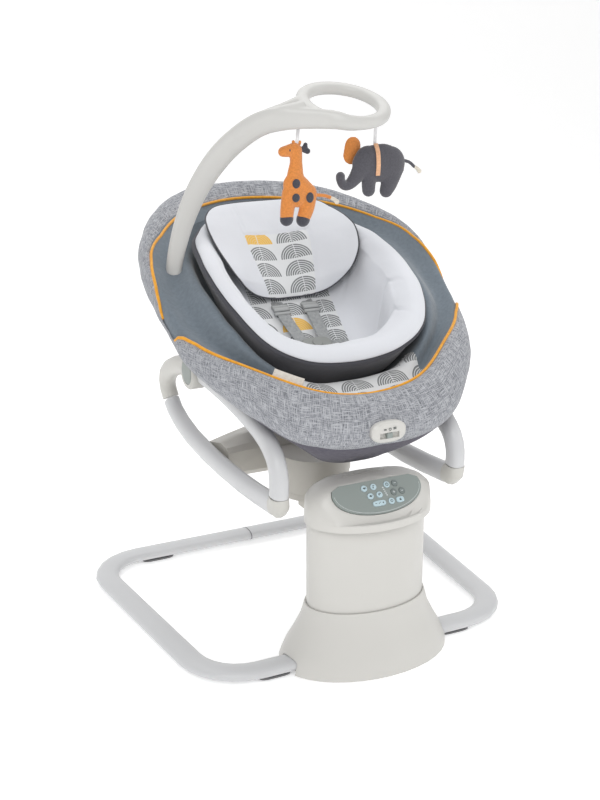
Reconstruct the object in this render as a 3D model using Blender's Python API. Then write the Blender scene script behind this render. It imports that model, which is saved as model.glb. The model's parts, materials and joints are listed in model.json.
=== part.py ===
"""Baby swing: a floor loop and drive tower, a swing arm, a portable rocker that docks on it, and a seat."""

import math

import bmesh
import bpy
import numpy as np

# Everything is in metres. X is across, Y runs from the tower (front) to the head end (rear), Z is up.
# The swing axis is the Z axis and the floor is z = 0.

GAP = 0.0003  # clearance between pieces that touch
SLIP = 0.0006  # clearance round a piece that slides or turns

# Floor loop
LOOP_FRONT_Y = -0.007
LOOP_DEPTH = 0.540
LOOP_FRONT_HALF = 0.297  # half width of the centreline at the front
LOOP_REAR_HALF = 0.342
LOOP_CORNER = 0.095
LOOP_TUBE_WIDE = 0.046
LOOP_TUBE_HIGH = 0.021
LOOP_WALL = 0.0016
LOOP_SEAM_X = 0.008
PAD_HIGH = 0.0042
TUBE_END_X = 0.116

# Tower
BODY_HALF_X = 0.111
BODY_HALF_Y = 0.070
BODY_WALL = 0.0028
BODY_TOP = 0.2672
CAP_HALF_X = 0.118
CAP_HALF_Y = 0.079
CAP_CENTRE_Y = -0.006
CAP_TOP = 0.338
CAP_WALL = 0.0032
PANEL_TILT = math.radians(47.0)
PANEL_BACK_Y = -0.0225
PANEL_BACK_Z = 0.338
PANEL_HALF = 0.086
PANEL_BACK_HALF = 0.068
PANEL_DEEP = 0.062
PANEL_THICK = 0.0036
SKIRT_HALF_X = 0.161
SKIRT_HALF_Y = 0.1075
SKIRT_TOP = 0.112
SKIRT_WALL = 0.0028
PLATE_THICK = 0.0036

# Drive
SHAFT_R = 0.008
SHAFT_CLEAR = 0.00007
GEAR_MODULE = 0.002
GEAR_TEETH = 40
PINION_TEETH = 10
GEAR_Z = 0.130
GEAR_THICK = 0.008
BRACKET_TOP = 0.196
BRACKET_LOW = 0.084
BRACKET_PLATE = 0.006

# Swing arm and dock
ARM_HALF = 0.033
ARM_LOW = 0.214
ARM_SPLIT = 0.250
DRUM_Y = 0.200
DRUM_R = 0.066
DRUM_LOW = 0.239
DRUM_TOP = 0.286
ARM_WALL = 0.003

# Rocker
FOOT_X = 0.169
RAIL_LEAN = 0.115  # how far a side loop leans outward for each metre of height
FOOT_Z = 0.2935
RAIL_WIDE = 0.030
RAIL_DEEP = 0.037
RAIL_WALL = 0.0016
HUB_Y = 0.306
HUB_Z = 0.468
HUB_FACE_X = 0.209
HUB_INNER_X = 0.178
HUB_R = 0.033
BUTTON_R = 0.0235
PIVOT_R = 0.0120  # the seat's pivot pins in the hubs
PIVOT_BORE_R = 0.01208

# Seat
COVER_THICK = 0.005
FRAME_R = 0.0060

WHITE = (0.82, 0.82, 0.80, 1.0)
WARM = (0.74, 0.72, 0.68, 1.0)
METAL_WHITE = (0.85, 0.86, 0.87, 1.0)
DARK = (0.05, 0.05, 0.055, 1.0)
PANEL_GREY = (0.30, 0.33, 0.31, 1.0)
KEY_BLUE = (0.50, 0.62, 0.66, 1.0)
STEEL = (0.55, 0.56, 0.58, 1.0)
HEATHER = (0.36, 0.38, 0.41, 1.0)
PADDING = (0.85, 0.86, 0.88, 1.0)
WEBBING = (0.42, 0.44, 0.45, 1.0)

for old in list(bpy.data.objects):
    bpy.data.objects.remove(old)


def material(name, colour):
    made = bpy.data.materials.new(name)
    made.use_nodes = True
    shader = made.node_tree.nodes["Principled BSDF"]
    shader.inputs["Base Color"].default_value = colour
    shader.inputs["Roughness"].default_value = 0.5
    return made


def add(name, points, faces, colour, origin=(0, 0, 0), hide=False, smooth=True):
    """One closed mesh from world points, with its object placed at origin and its normals turned outward."""
    points = np.asarray(points, float) - np.asarray(origin, float)
    mesh = bpy.data.meshes.new(name)
    mesh.from_pydata(points.tolist(), [], faces)
    work = bmesh.new()
    work.from_mesh(mesh)
    bmesh.ops.remove_doubles(work, verts=work.verts, dist=1e-6)
    bmesh.ops.recalc_face_normals(work, faces=work.faces)
    if work.calc_volume(signed=True) < 0:
        bmesh.ops.reverse_faces(work, faces=work.faces)
    work.to_mesh(mesh)
    work.free()
    made = bpy.data.objects.new(name, mesh)
    made.location = origin
    bpy.context.scene.collection.objects.link(made)
    mesh.materials.append(material(name, colour))
    if smooth:
        mesh.shade_smooth()
        mesh.set_sharp_from_angle(angle=math.radians(38))
    if hide:
        made.hide_render = True
        made.display_type = "WIRE"
    return made


def loft_data(rings, closed_path=False):
    """Points and faces of a skin through rings of equal length, capped at both ends unless the path closes."""
    rings = [np.asarray(r, float) for r in rings]
    n = len(rings[0])
    points = np.concatenate(rings)
    faces = []
    count = len(rings)
    for i in range(count if closed_path else count - 1):
        a, b = i * n, ((i + 1) % count) * n
        for j in range(n):
            k = (j + 1) % n
            faces.append((a + j, a + k, b + k, b + j))
    if not closed_path:
        faces.append(tuple(range(n))[::-1])
        faces.append(tuple(range((count - 1) * n, count * n)))
    return points, faces


def loft(name, rings, colour, closed_path=False, **more):
    points, faces = loft_data(rings, closed_path)
    return add(name, points, faces, colour, **more)


def oval(cx, cy, z, rx, ry, n=32, power=2.0):
    """A level superellipse ring."""
    t = np.arange(n) * 2 * np.pi / n
    c, s = np.cos(t), np.sin(t)
    x = cx + rx * np.sign(c) * np.abs(c) ** (2 / power)
    y = cy + ry * np.sign(s) * np.abs(s) ** (2 / power)
    return np.stack([x, y, np.full(n, float(z))], -1)


def axes_of(normal, up):
    normal = np.asarray(normal, float) / np.linalg.norm(normal)
    side = np.cross(up, normal)
    side /= np.linalg.norm(side)
    return side, np.cross(normal, side), normal


def disc_ring(centre, normal, up, rx, ry, n=24, power=2.0):
    """A superellipse ring in the plane with this normal: rx along up x normal, ry along up."""
    side, rise, _ = axes_of(normal, up)
    flat = oval(0, 0, 0, rx, ry, n, power)
    return np.asarray(centre, float) + flat[:, :1] * side + flat[:, 1:2] * rise


def rod(name, start, end, r, colour, n=20, **more):
    """A straight round bar between two points."""
    start, end = np.asarray(start, float), np.asarray(end, float)
    normal = end - start
    up = (0, 0, 1) if abs(normal[2]) < 0.9 * np.linalg.norm(normal) else (0, 1, 0)
    rings = [disc_ring(p, normal, up, r, r, n) for p in (start, end)]
    return loft(name, rings, colour, **more)


def box(name, low, high, colour, bevel=0.0, **more):
    """A box between two corners, with its upright edges rounded by bevel."""
    low, high = np.asarray(low, float), np.asarray(high, float)
    half = (high - low) / 2
    mid = (high + low) / 2
    corner = min(bevel, half[0] * 0.98, half[1] * 0.98)
    outline = rounded_rectangle(half[0], half[1], corner)
    rings = []
    for z in (low[2], high[2]):
        rings.append(np.column_stack([outline + mid[:2], np.full(len(outline), z)]))
    return loft(name, rings, colour, **more)


def rounded_rectangle(half_x, half_y, corner, steps=4):
    if corner <= 0:
        return np.array([(half_x, half_y), (-half_x, half_y), (-half_x, -half_y), (half_x, -half_y)])
    out = []
    for k, (sx, sy) in enumerate(((1, 1), (-1, 1), (-1, -1), (1, -1))):
        for i in range(steps + 1):
            t = math.radians(90 * k + 90 * i / steps)
            x = sx * (half_x - corner) + corner * math.cos(t)
            y = sy * (half_y - corner) + corner * math.sin(t)
            out.append((x, y))
    return np.array(out)


def cut(target, *cutters, operation="DIFFERENCE"):
    for cutter in cutters:
        step = target.modifiers.new(f"{operation.lower()}_{cutter.name}"[:60], "BOOLEAN")
        step.operation = operation
        step.solver = "EXACT"
        step.object = cutter
        cutter.hide_render = True
        cutter.display_type = "WIRE"
    return target


def smooth_curve(points, steps, closed=False):
    """A centripetal-free Catmull-Rom curve through the points, steps segments per span."""
    points = np.asarray(points, float)
    count = len(points)
    out = []
    spans = count if closed else count - 1
    for i in range(spans):
        if closed:
            p = [points[(i + k) % count] for k in (-1, 0, 1, 2)]
        else:
            p = [points[min(max(i + k, 0), count - 1)] for k in (-1, 0, 1, 2)]
        for j in range(steps):
            t = j / steps
            out.append(0.5 * (
                2 * p[1] + (p[2] - p[0]) * t
                + (2 * p[0] - 5 * p[1] + 4 * p[2] - p[3]) * t * t
                + (3 * p[1] - p[0] - 3 * p[2] + p[3]) * t ** 3
            ))
    if not closed:
        out.append(points[-1])
    return np.array(out)


def tangents(path, closed=False):
    if closed:
        step = np.roll(path, -1, 0) - np.roll(path, 1, 0)
    else:
        step = np.gradient(path, axis=0)
    return step / np.linalg.norm(step, axis=1)[:, None]


def tube_rings(path, up, half_up, half_side, n=12, closed=False, power=2.4):
    """Oval rings along a path: half_up along the given up direction, half_side across it."""
    path = np.asarray(path, float)
    half_up = np.broadcast_to(half_up, len(path))
    half_side = np.broadcast_to(half_side, len(path))
    rings = []
    for p, t, a, b in zip(path, tangents(path, closed), half_up, half_side):
        rings.append(disc_ring(p, t, up, b, a, n, power))
    return rings


def pipe(name, path, up, half_up, half_side, wall, colour, n=12, **more):
    """A hollow tube, open at both ends: the outer skin out and the inner skin back."""
    outer = tube_rings(path, up, half_up, half_side, n)
    inner = tube_rings(path, up, half_up - wall, half_side - wall, n)
    return loft(name, outer + inner[::-1], colour, closed_path=True, **more)


def rounded_path(corners, radius, steps=6):
    """A polyline whose inner corners are rounded to the radius."""
    corners = np.asarray(corners, float)
    out = [corners[0]]
    for before, here, after in zip(corners[:-2], corners[1:-1], corners[2:]):
        a = (before - here) / np.linalg.norm(before - here)
        b = (after - here) / np.linalg.norm(after - here)
        half = math.acos(float(np.clip(a @ b, -1, 1))) / 2
        reach = radius / math.tan(half)
        centre = here + (a + b) / np.linalg.norm(a + b) * radius / math.sin(half)
        first, last = here + a * reach - centre, here + b * reach - centre
        span = math.pi - 2 * half
        for i in range(steps + 1):
            t = i / steps
            mix = (math.sin((1 - t) * span) * first + math.sin(t * span) * last) / math.sin(span)
            out.append(centre + mix)
    out.append(corners[-1])
    return np.array(out)


def mirrored(points):
    return np.asarray(points, float) * (-1, 1, 1)


# ---------------------------------------------------------------- floor loop
# Two bent steel tubes that butt at the rear and end in the sides of the tower's skirt, on rubber pads.

tube_z = PAD_HIGH + GAP + LOOP_TUBE_HIGH / 2
loop_rear_y = LOOP_FRONT_Y + LOOP_DEPTH


def half_loop(side, end_x):
    corners = [
        (side * TUBE_END_X, LOOP_FRONT_Y, tube_z),
        (side * LOOP_FRONT_HALF, LOOP_FRONT_Y, tube_z),
        (side * LOOP_REAR_HALF, loop_rear_y, tube_z),
        (end_x, loop_rear_y, tube_z),
    ]
    return rounded_path(corners, LOOP_CORNER, 6)


for side, label, end in ((-1, "left", LOOP_SEAM_X - GAP), (1, "right", LOOP_SEAM_X + GAP)):
    pipe(f"floor_tube_{label}", half_loop(side, end), (0, 0, 1), LOOP_TUBE_HIGH / 2,
         LOOP_TUBE_WIDE / 2, LOOP_WALL, METAL_WHITE)

pad_spots = {
    "foot_pad_front_left": (-0.184, LOOP_FRONT_Y, 0.030),
    "foot_pad_front_right": (0.184, LOOP_FRONT_Y, 0.030),
    "foot_pad_rear_left": (-0.200, loop_rear_y, 0.034),
    "foot_pad_rear_right": (0.200, loop_rear_y, 0.034),
}
for name, (x, y, half) in pad_spots.items():
    rings = [oval(x, y, z, half - inset, 0.016 - inset, 20, 4.0)
             for z, inset in ((0.0, 0.0015), (0.0012, 0.0), (PAD_HIGH, 0.0))]
    loft(name, rings, DARK)

# ---------------------------------------------------------------- tower base
# A flat plate under the tower and a flared skirt that covers where the tubes enter.

loft("base_plate", [oval(0, 0.003, z, SKIRT_HALF_X - 0.012 - inset,
                                 SKIRT_HALF_Y - 0.012 - inset, 40)
                            for z, inset in ((0.0, 0.001), (0.001, 0.0), (PLATE_THICK, 0.0))], WARM)

skirt_profile = ((0.0005, 0.0), (0.012, 0.02), (0.036, 0.24), (0.060, 0.55), (0.085, 0.83),
                 (SKIRT_TOP, 1.0))
skirt_top_x = BODY_HALF_X + SLIP + SKIRT_WALL + 0.0004
skirt_top_y = BODY_HALF_Y + SLIP + SKIRT_WALL + 0.0004


def skirt_ring(z, t, inset):
    rx = SKIRT_HALF_X + (skirt_top_x - SKIRT_HALF_X) * t - inset
    ry = SKIRT_HALF_Y + (skirt_top_y - SKIRT_HALF_Y) * t - inset
    return oval(0, 0.003 * (1 - t), z, rx, ry, 36)


outer = [skirt_ring(z, t, 0.0) for z, t in skirt_profile]
inner = [skirt_ring(z, t, SKIRT_WALL) for z, t in skirt_profile]
skirt = loft("skirt", outer + inner[::-1], WHITE, closed_path=True)
tube_hole = loft("cut_skirt_tubes", tube_rings(
    [(x, LOOP_FRONT_Y, tube_z - 0.004) for x in (-0.2, 0.2)], (0, 0, 1),
    LOOP_TUBE_HIGH / 2 + 0.005, LOOP_TUBE_WIDE / 2 + 0.0012, 24, power=3.0), WHITE, hide=True)
inlet_hole = rod("cut_skirt_inlet", (0.05, 0.06, 0.035), (0.05, 0.13, 0.035), 0.0068, WHITE, hide=True)
cut(skirt, tube_hole, inlet_hole)

inlet = rod("power_inlet", (0.05, 0.076, 0.035), (0.05, 0.1005, 0.035), 0.0062, DARK, n=16)
cut(inlet, rod("cut_inlet", (0.05, 0.090, 0.035), (0.05, 0.11, 0.035), 0.0031, DARK, n=12, hide=True))

# ---------------------------------------------------------------- tower body
# Two half shells that meet on the tower's widest line, the rear one with the arm's window.

body_low = PLATE_THICK + GAP


def body_half(side):
    """Half of an oval shell: side -1 is the front half, +1 the rear half."""
    t = np.linspace(0, np.pi, 23)
    s = np.sin(t)
    cut_off = GAP / 2
    out_x, out_y = BODY_HALF_X * np.cos(t), side * np.maximum(BODY_HALF_Y * s, cut_off)
    in_x = (BODY_HALF_X - BODY_WALL) * np.cos(t)
    in_y = side * np.maximum((BODY_HALF_Y - BODY_WALL) * s, cut_off)
    outline = np.concatenate([np.stack([out_x, out_y], -1), np.stack([in_x, in_y], -1)[::-1]])
    return [np.column_stack([outline, np.full(len(outline), z)]) for z in (body_low, BODY_TOP)]


loft("tower_front_shell", body_half(-1), WHITE)
rear_shell = loft("tower_rear_shell", body_half(1), WHITE)
WINDOW_HALF = 0.062
WINDOW_LOW = ARM_LOW - 0.012
window = box("cut_window", (-WINDOW_HALF, 0.02, WINDOW_LOW), (WINDOW_HALF, 0.12, BODY_TOP + 0.02),
             WHITE, hide=True)
cut(rear_shell, window)

# ---------------------------------------------------------------- tower cap
# A domed cover with a level rear top and a steep front face that holds the control panel.

tilt_slope = math.tan(PANEL_TILT)


def cap_height(x, y, lift=0.0):
    """Height of the cap's top at a plan position: the lower of the level top and the front slope, with rounding."""
    level = CAP_TOP - 0.45 * x * x - 6.0 * np.maximum(y - 0.01, 0) ** 2
    front = PANEL_BACK_Z + (y - PANEL_BACK_Y) * tilt_slope
    return np.minimum(level, front) - lift


def cap_rings(inset, low, n=32):
    """Rings from the lower rim up over the dome, drawn in by inset."""
    rings = []
    lip = ((low, 0.9995), (low + 0.012, 1.0))
    for z, s in lip:
        rings.append(oval(0, CAP_CENTRE_Y, z, (CAP_HALF_X - inset) * s, (CAP_HALF_Y - inset) * s, n))
    for s in (0.985, 0.945, 0.87, 0.74, 0.56, 0.30):
        ring = oval(0, CAP_CENTRE_Y, 0.0, (CAP_HALF_X - inset) * s, (CAP_HALF_Y - inset) * s, n)
        edge = 1.0 - math.sqrt(max(0.0, 1.0 - ((s - 0.62) / 0.38) ** 2)) if s > 0.62 else 0.0
        z = cap_height(ring[:, 0], ring[:, 1], inset * 1.15) - 0.030 * edge
        ring[:, 2] = np.maximum(z, low + 0.0135 - inset * 0.2)
        rings.append(ring)
    return rings


cap_low = BODY_TOP + GAP
outer = cap_rings(0.0, cap_low)
inner = cap_rings(CAP_WALL, cap_low)
points, faces = [], []
n_ring = 32
stack = outer + inner
points = np.concatenate(stack)
per = len(outer)


def grid_faces(first, count, n):
    out = []
    for i in range(count - 1):
        a, b = first + i * n, first + (i + 1) * n
        for j in range(n):
            k = (j + 1) % n
            out.append((a + j, a + k, b + k, b + j))
    return out


faces += grid_faces(0, per, n_ring)
faces += grid_faces(per * n_ring, per, n_ring)
faces += [(j, (j + 1) % n_ring, per * n_ring + (j + 1) % n_ring, per * n_ring + j)
          for j in range(n_ring)]
poles = []
for ring_index, z_drop in ((per - 1, 0.0), (2 * per - 1, CAP_WALL * 1.15)):
    ring = stack[ring_index]
    poles.append((0, CAP_CENTRE_Y, float(cap_height(0.0, CAP_CENTRE_Y)) - z_drop))
    pole = len(points) + len(poles) - 1
    base = ring_index * n_ring
    faces += [(base + j, base + (j + 1) % n_ring, pole) for j in range(n_ring)]
points = np.concatenate([points, np.array(poles)])
cap = add("tower_cap", points, faces, WHITE)

# Panel frame: u across, v down the slope, w out of it.
panel_up = np.array([0, math.cos(PANEL_TILT), math.sin(PANEL_TILT)])
panel_out = np.array([0, -math.sin(PANEL_TILT), math.cos(PANEL_TILT)])
panel_back = np.array([0, PANEL_BACK_Y - 0.0015, PANEL_BACK_Z - 0.0018])


def on_panel(u, v, w=0.0):
    """World position of a point v down the slope from the panel's straight back edge."""
    return panel_back + np.array([u, 0, 0]) - panel_up * v + panel_out * w


def panel_outline(grow=0.0):
    """A D: a straight back edge, then an arc that bulges out to the sides and down to the front."""
    t = np.linspace(0, np.pi, 25)
    u = PANEL_HALF * np.cos(t)
    v = PANEL_DEEP * (0.26 + 0.74 * np.sin(t) ** 0.9)
    arc = np.stack([u, v], -1)
    back = np.array([(-PANEL_BACK_HALF, 0.0), (PANEL_BACK_HALF, 0.0)])
    line = np.concatenate([arc, [(-PANEL_HALF * 0.97, PANEL_DEEP * 0.12)], back,
                           [(PANEL_HALF * 0.97, PANEL_DEEP * 0.12)]])
    centre = np.array([0, PANEL_DEEP * 0.42])
    away = line - centre
    return line + grow * away / np.linalg.norm(away, axis=1)[:, None]


def panel_prism(name, outline, low, high, colour, **more):
    rings = [np.array([on_panel(u, v, w) for u, v in outline]) for w in (low, high)]
    return loft(name, rings, colour, **more)


cut(cap, panel_prism("cut_cap_panel", panel_outline(0.0005), -0.012, 0.03, WHITE, hide=True))
for k in range(4):
    slot_y = 0.010 + 0.009 * k
    half = 0.040 - 0.004 * k
    cut(cap, box(f"cut_cap_slot_{k}", (-half, slot_y - 0.0012, 0.30), (half, slot_y + 0.0012, 0.36),
                 WHITE,
                 bevel=0.001, hide=True))

panel = panel_prism("control_panel", panel_outline(-0.0003), -PANEL_THICK, 0.0004, PANEL_GREY)

# Keys: name, u, v, half width, half height, turn
KEY_R = 0.0058
keys = (
    ("key_sound", -0.0235, 0.0125, KEY_R, KEY_R),
    ("key_music", -0.0055, 0.0125, KEY_R, KEY_R),
    ("key_mute", -0.0165, 0.0280, KEY_R, KEY_R),
    ("key_nature", 0.0010, 0.0280, KEY_R, KEY_R),
    ("key_volume", -0.0045, 0.0430, 0.0125, 0.0052),
    ("key_timer", 0.0205, 0.0125, KEY_R, KEY_R),
    ("key_swing_slow", 0.0360, 0.0125, KEY_R, KEY_R),
    ("key_swing_fast", 0.0290, 0.0280, KEY_R, KEY_R),
    ("key_swing_mode", 0.0450, 0.0280, KEY_R, KEY_R),
    ("key_power", 0.0190, 0.0430, KEY_R, KEY_R),
    ("key_lock", 0.0360, 0.0430, 0.0075, 0.0052),
)
KEY_RISE = 0.0018
for name, u, v, half_u, half_v in keys:
    power = 2.0 if half_u == half_v else 3.2
    centre = on_panel(u, v)
    rings = [disc_ring(centre + panel_out * w, panel_out, panel_up, half_u - inset, half_v - inset, 16,
                       power)
             for w, inset in ((-PANEL_THICK - 0.0012, 0.0), (KEY_RISE - 0.0006, 0.0),
                              (KEY_RISE, 0.0006))]
    loft(name, rings, KEY_BLUE, origin=centre)
    hole = [disc_ring(centre + panel_out * w, panel_out, panel_up, half_u + 0.0004, half_v + 0.0004, 16,
                      power)
            for w in (-0.02, 0.02)]
    cut(panel, loft(f"cut_{name}", hole, PANEL_GREY, hide=True))

board_outline = [(-0.060, 0.004), (0.060, 0.004), (0.060, 0.050), (-0.060, 0.050)]
panel_prism("circuit_board", board_outline, -0.0105, -0.0089, (0.05, 0.25, 0.12, 1.0))

rod("speaker", (0, 0.022, 0.302), (0, 0.022, 0.3215), 0.022, DARK, n=24)

# ---------------------------------------------------------------- drive
# A bracket carries the arm's shaft in two bearings and the gear motor whose pinion turns the sector gear.

bracket_points = (
    (0.034, BRACKET_TOP), (-0.020, BRACKET_TOP), (-0.020, BRACKET_TOP - BRACKET_PLATE),
    (0.030, BRACKET_TOP - BRACKET_PLATE), (0.030, BRACKET_LOW), (-0.072, BRACKET_LOW),
    (-0.072, BRACKET_LOW - BRACKET_PLATE), (0.030, BRACKET_LOW - BRACKET_PLATE), (0.030, 0.010),
    (-0.060, 0.010), (-0.060, body_low + 0.0002), (0.034, body_low + 0.0002),
)
bracket = loft("pivot_bracket", [np.array([(x, y, z) for x, z in bracket_points])
                                 for y in (-0.028, 0.028)],
               STEEL, smooth=False)
BEARING_R = 0.014
cut(bracket, rod("cut_bearing_bores", (0, 0, 0.05), (0, 0, 0.25), BEARING_R + 0.0004, STEEL, n=32,
                 hide=True))
for label, top in (("upper", BRACKET_TOP), ("lower", BRACKET_LOW)):
    low = top - BRACKET_PLATE
    inner_r = SHAFT_R + SHAFT_CLEAR
    rings = [oval(0, 0, z, r, r, 32) for r, z in
             ((BEARING_R, low), (BEARING_R, top), (inner_r + 0.0003, top), (inner_r, top - 0.0005),
              (inner_r, low + 0.0005), (inner_r + 0.0003, low))]
    loft(f"bearing_{label}", rings, (0.75, 0.6, 0.3, 1.0), closed_path=True)


def gear_outline(teeth, turn):
    """A toothed outline whose teeth are a little narrower than their gaps."""
    pitch = GEAR_MODULE * teeth / 2
    root, tip = pitch - 1.1 * GEAR_MODULE, pitch + 0.75 * GEAR_MODULE
    step = 2 * np.pi / teeth
    out = []
    for k in range(teeth):
        base = turn + k * step
        for share, r in ((-0.27, root), (-0.105, tip), (0.105, tip), (0.27, root)):
            out.append((r * math.cos(base + share * step), r * math.sin(base + share * step)))
    return np.array(out)


gear_pitch = GEAR_MODULE * GEAR_TEETH / 2
pinion_pitch = GEAR_MODULE * PINION_TEETH / 2
PINION_X = -(gear_pitch + pinion_pitch + 0.0004)
full = gear_outline(GEAR_TEETH, math.pi)
angle = np.arctan2(full[:, 1], -full[:, 0])
SECTOR = math.radians(50)
kept = full[np.argsort(angle)]
kept = kept[np.abs(np.sort(angle)) < SECTOR]
hub_arc = np.array([(0.017 * math.cos(a), 0.017 * math.sin(a))
                    for a in np.linspace(math.radians(112), math.radians(-112), 13)])
sector_outline = np.concatenate([kept, hub_arc])
sector = loft("sector_gear", [np.column_stack([sector_outline, np.full(len(sector_outline), z)])
                              for z in (GEAR_Z, GEAR_Z + GEAR_THICK)], (0.8, 0.8, 0.76, 1.0),
                              smooth=False)
cut(sector, rod("cut_sector", (0, 0, 0.1), (0, 0, 0.16), SHAFT_R + GAP, STEEL, n=24, hide=True))

pinion_outline = gear_outline(PINION_TEETH, math.pi / PINION_TEETH) + (PINION_X, 0)
pinion = loft("drive_pinion", [np.column_stack([pinion_outline, np.full(len(pinion_outline), z)])
                               for z in (GEAR_Z - 0.001, GEAR_Z + GEAR_THICK + 0.001)],
                               (0.8, 0.8, 0.76, 1.0),
              origin=(PINION_X, 0, GEAR_Z), smooth=False)
MOTOR_SHAFT_R = 0.003
cut(pinion, rod("add_pinion_shaft", (PINION_X, 0, 0.112), (PINION_X, 0, GEAR_Z + 0.004), MOTOR_SHAFT_R,
                STEEL,
                n=16, hide=True), operation="UNION")
MOTOR_R = 0.017
motor = rod("drive_motor", (PINION_X, 0, BRACKET_LOW + GAP), (PINION_X, 0, 0.1265), MOTOR_R, DARK, n=24)
cut(motor, rod("cut_motor", (PINION_X, 0, 0.108), (PINION_X, 0, 0.14), MOTOR_SHAFT_R + 0.0003, DARK,
               n=16, hide=True))

# ---------------------------------------------------------------- swing arm
# A shaft in the bearings carries a hollow two-part arm out through the window to the round dock.

SHAFT_LOW, SHAFT_TOP = 0.070, 0.246
rod("pivot_shaft", (0, 0, SHAFT_LOW), (0, 0, SHAFT_TOP), SHAFT_R, STEEL, n=32)


def arm_outline(inset, narrow=0.0):
    """Plan of the neck from round the shaft to under the drum."""
    half = ARM_HALF - inset - narrow
    back = [(half * math.cos(a), half * math.sin(a)) for a in np.linspace(math.pi, 2 * math.pi, 13)]
    return np.array(back + [(half, DRUM_Y), (-half, DRUM_Y)])


def prism(name, outline, low, high, colour, **more):
    rings = [np.column_stack([outline, np.full(len(outline), z)]) for z in (low, high)]
    return loft(name, rings, colour, **more)


def drum_outline(r):
    return oval(0, DRUM_Y, 0, r, r, 32)[:, :2]


neck_top = ARM_SPLIT + 0.011
for label, low, high, drum_low, drum_high in (
    ("upper", ARM_SPLIT + GAP / 2, neck_top, ARM_SPLIT + GAP / 2, DRUM_TOP),
    ("lower", ARM_LOW, ARM_SPLIT - GAP / 2, DRUM_LOW, ARM_SPLIT - GAP / 2),
):
    shell = prism(f"arm_{label}_shell", arm_outline(0), low, high, WARM)
    drum = prism(f"add_drum_{label}", drum_outline(DRUM_R), drum_low, drum_high, WARM, hide=True)
    cut(shell, drum, operation="UNION")
    if label == "upper":
        hollow_neck = prism("cut_neck_upper", arm_outline(ARM_WALL), low - 0.01, high - ARM_WALL, WARM,
                            hide=True)
        hollow_drum = prism("cut_drum_upper", drum_outline(DRUM_R - ARM_WALL), low - 0.01,
                            drum_high - ARM_WALL,
                            WARM, hide=True)
    else:
        hollow_neck = prism("cut_neck_lower", arm_outline(ARM_WALL), low + ARM_WALL, high + 0.01, WARM,
                            hide=True)
        hollow_drum = prism("cut_drum_lower", drum_outline(DRUM_R - ARM_WALL), drum_low + ARM_WALL,
                            drum_high + 0.01, WARM, hide=True)
    cut(shell, hollow_neck, hollow_drum)
    if label == "lower":
        cut(shell, rod("cut_arm_shaft", (0, 0, ARM_LOW - 0.02), (0, 0, ARM_LOW + 0.02), SHAFT_R + GAP,
                       STEEL,
                       n=24, hide=True))
    else:
        latch_hole = box("cut_latch_hole", (-0.0095, DRUM_Y + 0.030, 0.270),
                         (0.0095, DRUM_Y + 0.0465, 0.300),
                         WARM, hide=True)
        cut(shell, latch_hole)

LATCH_HALF = 0.0085
LATCH_RISE = 0.006
box("dock_latch", (-LATCH_HALF, DRUM_Y + 0.0315, DRUM_TOP - 0.018),
    (LATCH_HALF, DRUM_Y + 0.0450, DRUM_TOP + LATCH_RISE),
    PANEL_GREY)

# ---------------------------------------------------------------- rocker
# Two closed side loops of tube and moulded elbow stand on rubber-shod feet, joined by the dock housing.


def lean(y, z):
    """A point of the left side loop's centre plane at this depth and height."""
    return (-(FOOT_X + RAIL_LEAN * (z - FOOT_Z)), y, z)


rail_curve = [(0.0095, 0.3092), (0.085, 0.3030), (0.150, 0.3000), (0.230, 0.3005), (0.310, 0.3045),
              (0.382, 0.3140), (0.430, 0.3275), (0.462, 0.3440), (0.4760, 0.3610)]
elbow_curve = [(0.4785, 0.3662), (0.4860, 0.3820), (0.4860, 0.398), (0.473, 0.418), (0.446, 0.436),
               (0.410, 0.451),
               (0.370, 0.463), (0.335, 0.469), (HUB_Y, HUB_Z)]
UPRIGHT_PATH = ((0.1730, -0.0105, 0.3325), (0.1725, -0.0115, 0.3580), (0.1715, -0.0010, 0.3850),
                (0.1705, 0.0240, 0.4060), (0.1710, 0.0630, 0.4240), (0.1750, 0.1250, 0.4420),
                (0.1830, 0.2000, 0.4600), (0.1880, HUB_Y - HUB_R - 0.0030, 0.4690))
side_axis = np.array([-1.0, 0.0, -RAIL_LEAN])
side_axis /= np.linalg.norm(side_axis)

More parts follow.
